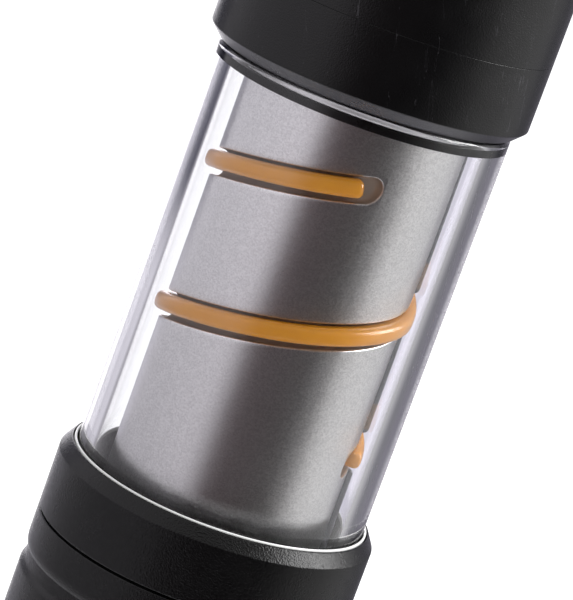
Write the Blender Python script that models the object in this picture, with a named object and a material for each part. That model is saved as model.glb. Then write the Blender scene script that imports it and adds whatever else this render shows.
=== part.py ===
# Pull-out lantern flashlight. A head with a front lamp rides on a clear lantern tube that slides
# out of a hollow handle. A cord-like LED filament winds round the silver column inside the tube.
# The torch stands on its tail: the origin is the centre of the tail face, +Z points to the lens.
# The model is drawn with the lantern pulled out. All lengths are in metres.

import bmesh
import bpy
from math import asin, cos, pi, radians, sin, sqrt
from mathutils import Vector

# Fits
CLEARANCE = 0.0003
RUNNING_CLEARANCE = 0.0002
CUT_OVERRUN = 0.002
MERGE_DISTANCE = 0.000001
SHARP_ANGLE = radians(35)
MILLIMETRES_PER_METRE = 1000

# Facets round the axis
OUTER_SEGMENTS = 36
INNER_SEGMENTS = 24
SMALL_SEGMENTS = 12
SEAL_SIDES = 5

# Tail cap
TAIL_FLOOR_THICKNESS = 0.0028
TAIL_FLANGE_RISE = 0.0012
TAIL_CAP_FILLET = 0.0012
TAIL_CAP_SPIGOT_LENGTH = 0.0038
TAIL_CAP_SPIGOT_WALL = 0.0026
TAIL_FLANGE_WALL = 0.0037
BAIL_RECESS_HEADROOM = 0.0008
MAGNET_BOSS_WALL = 0.0013
MAGNET_BOSS_SETBACK = 0.0003
FINGER_NOTCH_RADIUS = 0.0050
FINGER_NOTCH_DEPTH = 0.0018
TAIL_SEAL_WIRE_RADIUS = 0.0004
TAIL_SEAL_SETBACK = 0.0012
TAIL_SEAL_GROOVE_DEPTH = 0.0009
BUMPER_THICKNESS = 0.0018

# Magnet
MAGNET_RADIUS = 0.0070
MAGNET_THICKNESS = 0.0024

# Hanging bail
BAIL_WIRE_RADIUS = 0.0012
BAIL_SIDE_GAP = 0.0027
BAIL_FRONT_GAP = 0.0022
BAIL_CORNER_RADIUS = 0.0018
BAIL_FLOOR_GAP = 0.0010
BAIL_PIN_COVER = 0.0018

# Handle shell and its ribs
SHELL_WALL = 0.0015
SHELL_SLIDE_CLEARANCE = 0.00025
SHELL_EXTRA_LENGTH = 0.0055
TOP_BAND_HEIGHT = 0.0039
BOTTOM_BAND_HEIGHT = 0.0073
GROOVE_DEPTH = 0.0004
GROOVE_LEAD_IN = 0.0014
GROOVE_FLOOR_HEIGHT = 0.0015
GROOVE_LEAD_OUT = 0.0011
RIB_COUNT = 5
KEYWAY_COUNT = 3
KEYWAY_WIDTH = 0.0040
KEYWAY_DEPTH = 0.0005

# Collar
COLLAR_WALL_HEIGHT = 0.0079
COLLAR_SHOULDER_HEIGHT = 0.00175
COLLAR_LIP_WIDTH = 0.00005
SHOULDER_INSET_SHARE = 0.35
SHOULDER_RISE_SHARE = 0.62
COLLAR_SPIGOT_LENGTH = 0.0013
COLLAR_SPIGOT_STEP = 0.0006
BUSH_SEAT_DEPTH = 0.0060
SLIDE_SEAL_WIRE_RADIUS = 0.0004
SLIDE_SEAL_DROP = 0.0081
SLIDE_SEAL_GROOVE_HEIGHT = 0.0014

# Slide bush
BUSH_WALL = 0.0003
BUSH_LIP_RISE = 0.00055

# Clear lantern tube
LANTERN_AIR_GAP = 0.00205
TUBE_WALL = 0.00245
TUBE_EDGE_RADIUS = 0.0006
TUBE_EDGE_STEPS = 3

# Column foot
FOOT_RIM_HEIGHT = 0.0025
FOOT_RIM_STEP = 0.00015
FOOT_FLOOR_THICKNESS = 0.0015
FOOT_SPIGOT_HEIGHT = 0.0031
LUG_REACH = 0.00055
LUG_SETBACK = 0.0003
LUG_SIDE_CLEARANCE = 0.0003

# Silver column and the groove for the filament
COLUMN_WALL = 0.0024
COLUMN_BORE_CLEARANCE = 0.0007
FILAMENT_RADIUS = 0.00115
FILAMENT_LOWER_MARGIN = 0.01125
FILAMENT_UPPER_MARGIN = 0.01135
FILAMENT_START_ANGLE = radians(-20)
FILAMENT_END_ANGLE = radians(647)
FILAMENT_POINTS_PER_TURN = 24
GROOVE_HALF_WIDTH = 0.0018
GROOVE_END_MARGIN = 0.0023
GROOVE_CORNER_SHARE = 0.45
GROOVE_END_STEPS = 4
PIN_RADIUS = 0.0004
PIN_HOLE_RADIUS = 0.0008
LEAD_RADIUS = 0.0003
LEAD_END_GAP = 0.0006
FOOT_SCREW_COUNT = 3
SCREW_SHANK_RADIUS = 0.0007
SCREW_HEAD_RADIUS = 0.0011
SCREW_HEAD_HEIGHT = 0.0007
SCREW_LENGTH = 0.0050
FOOT_SCREW_TURN = radians(80)

# Battery
CELL_RADIUS = 0.0092
CELL_LENGTH = 0.0652
CELL_CAP_RADIUS = 0.0030
CELL_CAP_HEIGHT = 0.0010
CELL_HEAD_ENTRY = 0.0020
CARRIER_WALL = 0.0010
CARRIER_FIN_COUNT = 3
CARRIER_FIN_WIDTH = 0.0012
CARRIER_FIN_TURN = radians(30)
SPRING_HEIGHT = 0.0045
SPRING_WIRE_RADIUS = 0.00035
SPRING_WIDE_RADIUS = 0.0060
SPRING_NARROW_RADIUS = 0.0030
SPRING_TURNS = 3
CONTACT_RADIUS = 0.0060
CONTACT_THICKNESS = 0.0004
CONTACT_HOLDER_THICKNESS = 0.0014

# Column cap
CAP_SKIRT_OVERLAP = 0.0006
CAP_FLANGE_THICKNESS = 0.0013
CAP_NECK_HEIGHT = 0.0033
CAP_NECK_STEP = 0.0005
CAP_SCREW_SEAT_THICKNESS = 0.0020
TUBE_SEAL_WIRE_RADIUS = 0.0003

# Head base ring
HEAD_OVERHANG = 0.0016
HEAD_CHAMFER_HEIGHT = 0.0020
HEAD_CHAMFER_INSET = 0.0019
BASE_RING_HEIGHT = 0.0080
BASE_FLOOR_HEIGHT = 0.0015
BASE_WALL = 0.0019

# Head housing
HOUSING_UPPER_LENGTH = 0.0151
HOUSING_SPIGOT_LENGTH = 0.0046
HOUSING_SPIGOT_WALL = 0.0015
BOARD_LEDGE_HEIGHT = 0.0006
HOUSING_WALL = 0.0022
HOUSING_THIN_WALL = 0.0016
BEZEL_SPIGOT_LENGTH = 0.0077
BEZEL_SPIGOT_WALL = 0.0009

# Driver board and what stands on it
BOARD_THICKNESS = 0.0016
DRIVER_CHIP_SIZE = (0.0050, 0.0040, 0.0012)
DRIVER_CHIP_PLACE = (0.0010, -0.0080)
CHARGE_CHIP_SIZE = (0.0030, 0.0030, 0.0010)
CHARGE_CHIP_PLACE = (0.0085, -0.0020)
COIL_SIZE = (0.0060, 0.0060, 0.0028)
COIL_PLACE = (0.0070, 0.0060)
USB_WIDTH = 0.00894
USB_HEIGHT = 0.00326
USB_LENGTH = 0.0073
USB_SHELL_WALL = 0.0003
USB_MOUTH_SETBACK = 0.0005
USB_TONGUE_SETBACK = 0.0016
USB_TONGUE_THICKNESS = 0.0007
USB_TONGUE_SIDE_GAP = 0.0010
USB_BACK_THICKNESS = 0.0010

# Power button and its switch
BUTTON_RADIUS = 0.0040
BUTTON_FLANGE_RADIUS = 0.0046
BUTTON_FLANGE_THICKNESS = 0.0010
BUTTON_FLANGE_SETBACK = 0.0009
BUTTON_PROUD = 0.0005
BUTTON_DOME = 0.0004
BUTTON_FOOTROOM = 0.0005
BUTTON_HEADROOM = 0.0004
BUTTON_TRAVEL = 0.0008
PLUNGER_RADIUS = 0.0012
PLUNGER_LENGTH = 0.0022
PLUNGER_ENTRY = 0.0010
SWITCH_WIDTH = 0.0062
SWITCH_DEPTH = 0.0036
SWITCH_HEIGHT = 0.0046

# Charge light
INDICATOR_RADIUS = 0.0011
INDICATOR_LENGTH = 0.0038
INDICATOR_PROUD = 0.0002
INDICATOR_TURN = radians(135)

# Charging port cover
COVER_THICKNESS = 0.0010
COVER_SIDE_MARGIN = 0.0012
COVER_TOP_MARGIN = 0.0017
COVER_HINGE_DEPTH = 0.0005
COVER_HINGE_HEIGHT = 0.0019
COVER_ROLL_RADIUS = 0.00045
COVER_ROLL_HALF_LENGTH = 0.0025
COVER_STEPS = 8
COVER_SWING_CLEARANCE = 0.0004
COVER_PLUG_CLEARANCE = 0.00037
COVER_PLUG_ENTRY = 0.0003
PORT_WINDOW_MARGIN = 0.00033

# Front lamp
HEAT_SINK_THICKNESS = 0.0025
HEAT_SINK_PEDESTAL_RADIUS = 0.0090
HEAT_SINK_PEDESTAL_HEIGHT = 0.0012
LED_BOARD_RADIUS = 0.0080
LED_BOARD_THICKNESS = 0.0014
LED_NOTCH_COUNT = 6
LED_NOTCH_RADIUS = 0.0012
LED_BASE_WIDTH = 0.0050
LED_BASE_HEIGHT = 0.0007
LED_DOME_RADIUS = 0.0017
REFLECTOR_THROAT_RADIUS = 0.0042
REFLECTOR_FLANGE_WIDTH = 0.0023
REFLECTOR_WALL = 0.0010
REFLECTOR_STEPS = 6
LENS_THICKNESS = 0.0016
LENS_SEAL_WIRE_RADIUS = 0.00045
LENS_SEAL_SETBACK = 0.0009

# Front bezel
BEZEL_WALL = 0.0011
BEZEL_EDGE = 0.0010
BEZEL_LIP_THICKNESS = 0.0021
BEZEL_LIP_OVERLAP = 0.0021
BEZEL_MOUTH_BEVEL = 0.0009
BEZEL_GROOVE_DEPTH = 0.0005
BEZEL_GROOVE_HEIGHT = 0.0012
BEZEL_GROOVE_DROP = 0.0042

# Radii that follow from the battery cell outwards
CARRIER_BORE_RADIUS = CELL_RADIUS + CLEARANCE
CARRIER_RADIUS = CARRIER_BORE_RADIUS + CARRIER_WALL
LEAD_CIRCLE_RADIUS = CARRIER_RADIUS + CLEARANCE + LEAD_RADIUS
CAP_BORE_RADIUS = LEAD_CIRCLE_RADIUS + LEAD_RADIUS + RUNNING_CLEARANCE
COLUMN_BORE_RADIUS = LEAD_CIRCLE_RADIUS + LEAD_RADIUS + COLUMN_BORE_CLEARANCE
COLUMN_RADIUS = COLUMN_BORE_RADIUS + COLUMN_WALL
COLUMN_POCKET_RADIUS = COLUMN_RADIUS + CLEARANCE
SCREW_CIRCLE_RADIUS = COLUMN_RADIUS - COLUMN_WALL / 2
SCREW_HOLE_RADIUS = SCREW_SHANK_RADIUS + RUNNING_CLEARANCE
CAP_NECK_RADIUS = COLUMN_POCKET_RADIUS + CAP_NECK_STEP
TUBE_BORE_RADIUS = COLUMN_RADIUS + LANTERN_AIR_GAP
TUBE_RADIUS = TUBE_BORE_RADIUS + TUBE_WALL
TUBE_SPIGOT_RADIUS = TUBE_BORE_RADIUS - CLEARANCE
FOOT_RIM_RADIUS = TUBE_RADIUS + FOOT_RIM_STEP
LUG_RADIUS = FOOT_RIM_RADIUS + LUG_REACH
SHELL_BORE_RADIUS = FOOT_RIM_RADIUS + SHELL_SLIDE_CLEARANCE
KEYWAY_RADIUS = SHELL_BORE_RADIUS + KEYWAY_DEPTH
GRIP_RADIUS = SHELL_BORE_RADIUS + SHELL_WALL
BUSH_BORE_RADIUS = TUBE_RADIUS + RUNNING_CLEARANCE
BUSH_RADIUS = BUSH_BORE_RADIUS + BUSH_WALL
BUSH_SEAT_RADIUS = BUSH_RADIUS + RUNNING_CLEARANCE
COLLAR_MOUTH_RADIUS = BUSH_SEAT_RADIUS + COLLAR_LIP_WIDTH
COLLAR_BORE_RADIUS = FOOT_RIM_RADIUS + RUNNING_CLEARANCE
COLLAR_SPIGOT_RADIUS = SHELL_BORE_RADIUS + COLLAR_SPIGOT_STEP
TAIL_SPIGOT_RADIUS = SHELL_BORE_RADIUS - CLEARANCE
TAIL_SPIGOT_BORE_RADIUS = TAIL_SPIGOT_RADIUS - TAIL_CAP_SPIGOT_WALL
MAGNET_POCKET_RADIUS = MAGNET_RADIUS + CLEARANCE
MAGNET_BOSS_RADIUS = MAGNET_POCKET_RADIUS + MAGNET_BOSS_WALL
BAIL_RECESS_RADIUS = GRIP_RADIUS - TAIL_FLANGE_WALL
BAIL_HALF_WIDTH = BAIL_RECESS_RADIUS - BAIL_SIDE_GAP
BAIL_REACH = BAIL_RECESS_RADIUS - BAIL_FRONT_GAP
BAIL_PIN_END = GRIP_RADIUS - BAIL_PIN_COVER
HEAD_RADIUS = TUBE_RADIUS + HEAD_OVERHANG
BASE_BORE_RADIUS = CAP_NECK_RADIUS + CLEARANCE
BASE_CAVITY_RADIUS = HEAD_RADIUS - BASE_WALL
HOUSING_SPIGOT_RADIUS = BASE_CAVITY_RADIUS - CLEARANCE
HOUSING_BORE_RADIUS = HEAD_RADIUS - HOUSING_WALL
HOUSING_WIDE_BORE_RADIUS = HEAD_RADIUS - HOUSING_THIN_WALL
BOARD_RADIUS = HOUSING_BORE_RADIUS - CLEARANCE
HEAT_SINK_RADIUS = HOUSING_WIDE_BORE_RADIUS - CLEARANCE
BEZEL_SPIGOT_RADIUS = HOUSING_WIDE_BORE_RADIUS + BEZEL_SPIGOT_WALL
BEZEL_BORE_RADIUS = BEZEL_SPIGOT_RADIUS + CLEARANCE
BEZEL_RADIUS = BEZEL_BORE_RADIUS + BEZEL_WALL
LENS_RADIUS = BEZEL_BORE_RADIUS - CLEARANCE
BEZEL_MOUTH_RADIUS = LENS_RADIUS - BEZEL_LIP_OVERLAP
REFLECTOR_MOUTH_RADIUS = LENS_RADIUS - REFLECTOR_FLANGE_WIDTH

# Widths and heights that follow from the charging socket
PORT_WINDOW_WIDTH = USB_WIDTH + 2 * PORT_WINDOW_MARGIN
PORT_WINDOW_HEIGHT = USB_HEIGHT + 2 * PORT_WINDOW_MARGIN
COVER_PLUG_WIDTH = USB_WIDTH - 2 * USB_SHELL_WALL - 2 * COVER_PLUG_CLEARANCE
COVER_PLUG_HEIGHT = USB_HEIGHT - 2 * USB_SHELL_WALL - 2 * COVER_PLUG_CLEARANCE
COVER_HALF_ANGLE = asin((PORT_WINDOW_WIDTH / 2 + COVER_SIDE_MARGIN) / HEAD_RADIUS)

# Lengths that follow from the battery cell
FOOT_DROP = COLLAR_WALL_HEIGHT + COLLAR_SPIGOT_LENGTH + CLEARANCE + FOOT_RIM_HEIGHT
CELL_RISE = FOOT_FLOOR_THICKNESS + SPRING_HEIGHT + 2 * CLEARANCE
LANTERN_GAP = CELL_LENGTH + CELL_RISE - FOOT_DROP - CELL_HEAD_ENTRY
SHELL_LENGTH = LANTERN_GAP + SHELL_EXTRA_LENGTH
RIB_PITCH = (SHELL_LENGTH - TOP_BAND_HEIGHT - BOTTOM_BAND_HEIGHT) / RIB_COUNT
FILAMENT_SWEEP = FILAMENT_END_ANGLE - FILAMENT_START_ANGLE
FILAMENT_RISE = LANTERN_GAP - FILAMENT_LOWER_MARGIN - FILAMENT_UPPER_MARGIN
FILAMENT_PITCH = FILAMENT_RISE * 2 * pi / FILAMENT_SWEEP

# Levels from the tail upwards
BAIL_PIVOT_HEIGHT = BAIL_FLOOR_GAP + BAIL_WIRE_RADIUS
BAIL_RECESS_DEPTH = BAIL_PIVOT_HEIGHT + BAIL_WIRE_RADIUS + BAIL_RECESS_HEADROOM
TAIL_FLOOR_HEIGHT = BAIL_RECESS_DEPTH + TAIL_FLOOR_THICKNESS
TAIL_CAP_HEIGHT = TAIL_FLOOR_HEIGHT + TAIL_FLANGE_RISE
SHELL_BOTTOM = TAIL_CAP_HEIGHT + CLEARANCE
SHELL_TOP = SHELL_BOTTOM + SHELL_LENGTH
COLLAR_BOTTOM = SHELL_TOP + CLEARANCE
COLLAR_CREST = COLLAR_BOTTOM + COLLAR_WALL_HEIGHT
COLLAR_TOP = COLLAR_CREST + COLLAR_SHOULDER_HEIGHT
COLLAR_SPIGOT_BOTTOM = COLLAR_BOTTOM - COLLAR_SPIGOT_LENGTH
FOOT_RIM_TOP = COLLAR_SPIGOT_BOTTOM - CLEARANCE
FOOT_BOTTOM = FOOT_RIM_TOP - FOOT_RIM_HEIGHT
FOOT_FLOOR_TOP = FOOT_BOTTOM + FOOT_FLOOR_THICKNESS
HEAD_EDGE = COLLAR_CREST + LANTERN_GAP
HEAD_BOTTOM = HEAD_EDGE - HEAD_CHAMFER_HEIGHT
TUBE_BOTTOM = FOOT_RIM_TOP + CLEARANCE
TUBE_TOP = HEAD_BOTTOM - CLEARANCE
COLUMN_BOTTOM = FOOT_FLOOR_TOP + CLEARANCE
CAP_FLANGE_BOTTOM = TUBE_TOP - CAP_FLANGE_THICKNESS
COLUMN_TOP = CAP_FLANGE_BOTTOM - CLEARANCE
CAP_TOP = TUBE_TOP + CAP_NECK_HEIGHT
CAP_SCREW_SEAT = CAP_FLANGE_BOTTOM + CAP_SCREW_SEAT_THICKNESS
SPRING_BOTTOM = FOOT_FLOOR_TOP + CLEARANCE
CELL_BOTTOM = SPRING_BOTTOM + SPRING_HEIGHT + CLEARANCE
CELL_TOP = CELL_BOTTOM + CELL_LENGTH
CARRIER_TOP = CELL_TOP + CLEARANCE
CONTACT_BOTTOM = CARRIER_TOP + CLEARANCE
HOLDER_BOTTOM = CONTACT_BOTTOM + CONTACT_THICKNESS + CLEARANCE
BASE_RING_TOP = HEAD_EDGE + BASE_RING_HEIGHT
HOUSING_BOTTOM = BASE_RING_TOP + CLEARANCE
BOARD_BOTTOM = HOUSING_BOTTOM + BOARD_LEDGE_HEIGHT + CLEARANCE
BOARD_TOP = BOARD_BOTTOM + BOARD_THICKNESS
BOARD_PARTS_BOTTOM = BOARD_TOP + CLEARANCE
BUTTON_LEVEL = BOARD_TOP + BUTTON_FOOTROOM + BUTTON_FLANGE_RADIUS
PORT_LEVEL = BOARD_PARTS_BOTTOM + USB_HEIGHT / 2
COVER_HINGE_LEVEL = HOUSING_BOTTOM + COVER_HINGE_HEIGHT
COVER_TOP = PORT_LEVEL + PORT_WINDOW_HEIGHT / 2 + COVER_TOP_MARGIN
HEAT_SINK_LEDGE = BUTTON_LEVEL + BUTTON_FLANGE_RADIUS + BUTTON_HEADROOM
HEAT_SINK_BOTTOM = HEAT_SINK_LEDGE + CLEARANCE
HOUSING_SHOULDER = HEAT_SINK_LEDGE + HOUSING_UPPER_LENGTH
HOUSING_TOP = HOUSING_SHOULDER + BEZEL_SPIGOT_LENGTH
LED_BOARD_BOTTOM = HEAT_SINK_BOTTOM + HEAT_SINK_THICKNESS + HEAT_SINK_PEDESTAL_HEIGHT + CLEARANCE
LED_BOARD_TOP = LED_BOARD_BOTTOM + LED_BOARD_THICKNESS
REFLECTOR_BOTTOM = LED_BOARD_TOP + CLEARANCE
REFLECTOR_FLANGE_BOTTOM = HOUSING_TOP + CLEARANCE
REFLECTOR_TOP = REFLECTOR_FLANGE_BOTTOM + REFLECTOR_WALL
LENS_BOTTOM = REFLECTOR_TOP + CLEARANCE
LENS_TOP = LENS_BOTTOM + LENS_THICKNESS
LENS_SEAL_CENTRE = LENS_TOP + CLEARANCE + LENS_SEAL_WIRE_RADIUS
BEZEL_LIP_BOTTOM = LENS_SEAL_CENTRE + LENS_SEAL_WIRE_RADIUS + CLEARANCE
BEZEL_TOP = BEZEL_LIP_BOTTOM + BEZEL_LIP_THICKNESS
BEZEL_BOTTOM = HOUSING_SHOULDER + CLEARANCE

for old in list(bpy.data.objects):
    bpy.data.objects.remove(old, do_unlink=True)


def material(name, colour, roughness, metallic=0.0, transmission=0.0):
    """A Principled material in one colour."""
    made = bpy.data.materials.new(name)
    made.use_nodes = True
    shader = made.node_tree.nodes["Principled BSDF"]
    shader.inputs["Base Color"].default_value = (*colour, 1.0)
    shader.inputs["Roughness"].default_value = roughness
    shader.inputs["Metallic"].default_value = metallic
    shader.inputs["Transmission Weight"].default_value = transmission
    made.diffuse_color = (*colour, 1.0)
    return made


BLACK_PLASTIC = material("black_plastic", (0.018, 0.018, 0.020), 0.42)
BLACK_RUBBER = material("black_rubber", (0.020, 0.020, 0.020), 0.75)
CLEAR_PLASTIC = material("clear_plastic", (0.95, 0.96, 0.97), 0.05, transmission=1.0)
NATURAL_NYLON = material("natural_nylon", (0.86, 0.86, 0.84), 0.35)
SILVER_PAINT = material("silver_paint", (0.52, 0.52, 0.53), 0.38, metallic=0.9)
PHOSPHOR = material("phosphor_silicone", (0.78, 0.42, 0.08), 0.45)
STEEL = material("steel", (0.62, 0.62, 0.63), 0.25, metallic=1.0)
NICKEL = material("nickel_plate", (0.70, 0.68, 0.64), 0.22, metallic=1.0)
BRASS = material("brass", (0.72, 0.55, 0.26), 0.30, metallic=1.0)
ALUMINIUM = material("aluminium", (0.75, 0.76, 0.77), 0.35, metallic=1.0)
MIRROR_COAT = material("mirror_coat", (0.90, 0.90, 0.91), 0.06, metallic=1.0)
CELL_SLEEVE = material("cell_sleeve", (0.10, 0.22, 0.42), 0.40)
WHITE_PLASTIC = material("white_plastic", (0.80, 0.80, 0.78), 0.50)
CIRCUIT_BOARD = material("circuit_board", (0.03, 0.16, 0.07), 0.45)
CHIP_BLACK = material("chip_black", (0.03, 0.03, 0.03), 0.55)
WIRE_RED = material("wire_red", (0.55, 0.04, 0.03), 0.45)


def finish(name, mesh_data, skin, location=(0, 0, 0), turn=(0, 0, 0)):
    """Close a bmesh into a named, smooth shaded object."""
    bmesh.ops.remove_doubles(mesh_data, verts=mesh_data.verts, dist=MERGE_DISTANCE)
    bmesh.ops.recalc_face_normals(mesh_data, faces=mesh_data.faces)
    mesh = bpy.data.meshes.new(name)
    mesh_data.to_mesh(mesh)
    mesh_data.free()
    mesh.shade_smooth()
    mesh.set_sharp_from_angle(angle=SHARP_ANGLE)
    made = bpy.data.objects.new(name, mesh)
    bpy.context.collection.objects.link(made)
    made.location = location
    made.rotation_euler = turn
    if skin is not None:
        mesh.materials.append(skin)
    return made


def turned_mesh(mesh_data, outline, segments, start=0.0, sweep=2 * pi):
    """Spin an outline of (radius, height) points round Z. A part turn gets flat ends."""
    points = [mesh_data.verts.new((r * cos(start), r * sin(start), z)) for r, z in outline]
    edges = []
    for first, second in zip(points, points[1:] + points[:1]):
        if Vector((first.co.x, first.co.y)).length or Vector((second.co.x, second.co.y)).length:
            edges.append(mesh_data.edges.new((first, second)))
    full = sweep == 2 * pi
    if not full:
        mesh_data.faces.new(points)
    spun = bmesh.ops.spin(mesh_data, geom=points + edges, cent=(0, 0, 0), axis=(0, 0, 1),
                          angle=sweep, steps=segments, use_merge=full)
    if not full:
        last = [v for v in spun["geom_last"] if isinstance(v, bmesh.types.BMVert)]
        end = []
        for r, z in outline:
            spot = Vector((r * cos(start + sweep), r * sin(start + sweep), z))
            end.append(min(last, key=lambda v: (v.co - spot).length))
        mesh_data.faces.new(end)


def turned(name, outline, skin, segments=OUTER_SEGMENTS, location=(0, 0, 0), turn=(0, 0, 0)):
    """A solid of revolution."""
    mesh_data = bmesh.new()
    turned_mesh(mesh_data, outline, segments)
    return finish(name, mesh_data, skin, location, turn)


def rod_outline(radius, low, high):
    return [(0, low), (radius, low), (radius, high), (0, high)]


def tube_outline(inner, outer, low, high):
    return [(inner, low), (outer, low), (outer, high), (inner, high)]


def box_mesh(mesh_data, low, high):
    """An upright box between two corners."""
    corners = bmesh.ops.create_cube(mesh_data, size=1.0)["verts"]
    size = [b - a for a, b in zip(low, high)]
    middle = [(a + b) / 2 for a, b in zip(low, high)]
    bmesh.ops.scale(mesh_data, vec=size, verts=corners)
    bmesh.ops.translate(mesh_data, vec=middle, verts=corners)


def box(name, low, high, skin, location=(0, 0, 0), turn=(0, 0, 0)):
    mesh_data = bmesh.new()
    box_mesh(mesh_data, low, high)
    return finish(name, mesh_data, skin, location, turn)


def as_tool(tool):
    """Hide a cutter from the model."""
    tool.hide_render = True
    tool.display_type = "WIRE"
    return tool


def combine(target, tool, operation):
    """Cut the target with a tool, or join the tool to it."""
    as_tool(tool)
    step = target.modifiers.new(tool.name, "BOOLEAN")
    step.operation = operation
    step.object = tool
    return target


def cut(target, tool):
    return combine(target, tool, "DIFFERENCE")


def join(target, tool):
    return combine(target, tool, "UNION")


def round_points(name, centres, radius, low, high, skin, segments=SMALL_SEGMENTS):
    """A group of like upright rods, one at each (x, y) centre."""
    mesh_data = bmesh.new()
    for x, y in centres:
        before = set(mesh_data.verts)
        turned_mesh(mesh_data, rod_outline(radius, low, high), segments)
        new = [v for v in mesh_data.verts if v not in before]
        bmesh.ops.translate(mesh_data, vec=(x, y, 0), verts=new)
    return finish(name, mesh_data, skin)


def ring_places(count, radius, first_angle=0.0):
    """Places spread evenly round the axis."""
    places = []
    for index in range(count):
        angle = first_angle + 2 * pi * index / count
        places.append((radius * cos(angle), radius * sin(angle)))
    return places


def seal_ring(name, ring_radius, wire_radius, height, skin):
    """A round rubber ring."""
    mesh_data = bmesh.new()
    outline = []
    for index in range(SEAL_SIDES):
        angle = 2 * pi * index / SEAL_SIDES
        outline.append((ring_radius + wire_radius * cos(angle), height + wire_radius * sin(angle)))
    turned_mesh(mesh_data, outline, INNER_SEGMENTS)
    return finish(name, mesh_data, skin)


def wire(name, path, radius, skin, resolution=1, location=(0, 0, 0)):
    """A round wire along a path, with flat closed ends."""
    curve = bpy.data.curves.new(name, "CURVE")
    curve.dimensions = "3D"
    curve.bevel_depth = radius
    curve.bevel_resolution = resolution
    curve.use_fill_caps = True
    spline = curve.splines.new("POLY")
    spline.points.add(len(path) - 1)
    for point, place in zip(spline.points, path):
        point.co = (*place, 1.0)
    made = bpy.data.objects.new(name, curve)
    bpy.context.collection.objects.link(made)
    made.location = location
    curve.materials.append(skin)
    return made


def tail_cap():
    """Screw-in end cap: ring to stand on, recess for the bail, boss for the magnet."""
    pocket_top = MAGNET_BOSS_SETBACK + RUNNING_CLEARANCE + MAGNET_THICKNESS + CLEARANCE
    spigot_top = TAIL_CAP_HEIGHT + TAIL_CAP_SPIGOT_LENGTH
    seal_floor = TAIL_SPIGOT_RADIUS - TAIL_SEAL_GROOVE_DEPTH
    seal_low = TAIL_CAP_HEIGHT + TAIL_SEAL_SETBACK
    seal_high = seal_low + 2 * TAIL_SEAL_WIRE_RADIUS + 2 * RUNNING_CLEARANCE
    outline = [
        (0, pocket_top),
        (MAGNET_POCKET_RADIUS, pocket_top),
        (MAGNET_POCKET_RADIUS, MAGNET_BOSS_SETBACK),
        (MAGNET_BOSS_RADIUS, MAGNET_BOSS_SETBACK),
        (MAGNET_BOSS_RADIUS, BAIL_RECESS_DEPTH),
        (BAIL_RECESS_RADIUS, BAIL_RECESS_DEPTH),
        (BAIL_RECESS_RADIUS, 0),
        (GRIP_RADIUS - TAIL_CAP_FILLET, 0),
        (GRIP_RADIUS - TAIL_CAP_FILLET * (1 - sin(pi / 4)), TAIL_CAP_FILLET * (1 - cos(pi / 4))),
        (GRIP_RADIUS, TAIL_CAP_FILLET),
        (GRIP_RADIUS, TAIL_CAP_HEIGHT),
        (TAIL_SPIGOT_RADIUS, TAIL_CAP_HEIGHT),
        (TAIL_SPIGOT_RADIUS, seal_low),
        (seal_floor, seal_low),
        (seal_floor, seal_high),
        (TAIL_SPIGOT_RADIUS, seal_high),
        (TAIL_SPIGOT_RADIUS, spigot_top),
        (TAIL_SPIGOT_BORE_RADIUS, spigot_top),
        (TAIL_SPIGOT_BORE_RADIUS, TAIL_FLOOR_HEIGHT),
        (0, TAIL_FLOOR_HEIGHT),
    ]
    cap = turned("tail_cap", outline, BLACK_PLASTIC)
    hole_radius = BAIL_WIRE_RADIUS + CLEARANCE
    hole_end = BAIL_PIN_END + CLEARANCE
    for side, turn in (("right", pi / 2), ("left", -pi / 2)):
        hole = turned("pin_hole_" + side, rod_outline(hole_radius, BAIL_HALF_WIDTH, hole_end), None,
                      SMALL_SEGMENTS, (0, 0, BAIL_PIVOT_HEIGHT), (0, turn, 0))
        cut(cap, hole)
    notch_drop = FINGER_NOTCH_RADIUS - FINGER_NOTCH_DEPTH
    notch = turned("finger_notch",
                   rod_outline(FINGER_NOTCH_RADIUS, BAIL_REACH, GRIP_RADIUS + CUT_OVERRUN), None,
                   SMALL_SEGMENTS, (0, 0, -notch_drop), (-pi / 2, 0, 0))
    cut(cap, notch)
    seal_middle_radius = TAIL_SPIGOT_RADIUS + RUNNING_CLEARANCE / 2 - TAIL_SEAL_WIRE_RADIUS
    seal_ring("tail_seal", seal_middle_radius, TAIL_SEAL_WIRE_RADIUS, (seal_low + seal_high) / 2,
              BLACK_RUBBER)
    bumper_bottom = spigot_top + RUNNING_CLEARANCE
    bumper_top = bumper_bottom + BUMPER_THICKNESS
    turned("end_bumper",
           tube_outline(TAIL_SPIGOT_BORE_RADIUS + CLEARANCE, TAIL_SPIGOT_RADIUS - CLEARANCE,
                        bumper_bottom, bumper_top), BLACK_RUBBER, INNER_SEGMENTS)


def tail_magnet():
    low = MAGNET_BOSS_SETBACK + RUNNING_CLEARANCE
    turned("tail_magnet", rod_outline(MAGNET_RADIUS, low, low + MAGNET_THICKNESS), NICKEL,
           INNER_SEGMENTS)


def hanging_bail():
    """One bent wire: two pins in the cap's wall and an arch between them, folded flat."""
    arch_steps = 18
    corner_steps = 4
    arch_depth = BAIL_REACH - BAIL_WIRE_RADIUS - BAIL_CORNER_RADIUS
    corner_x = BAIL_HALF_WIDTH + BAIL_CORNER_RADIUS
    right = [(BAIL_PIN_END, 0, 0)]
    for index in range(corner_steps + 1):
        angle = pi / 2 * index / corner_steps
        right.append((corner_x - BAIL_CORNER_RADIUS * sin(angle),
                      BAIL_CORNER_RADIUS * (1 - cos(angle)), 0))
    arch = []
    for index in range(1, arch_steps):
        angle = pi * index / arch_steps
        arch.append((BAIL_HALF_WIDTH * cos(angle), BAIL_CORNER_RADIUS + arch_depth * sin(angle), 0))
    left = [(-x, y, z) for x, y, z in reversed(right)]
    wire("hanging_bail", right + arch + left, BAIL_WIRE_RADIUS, STEEL, 2,
         (0, 0, BAIL_PIVOT_HEIGHT))


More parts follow.
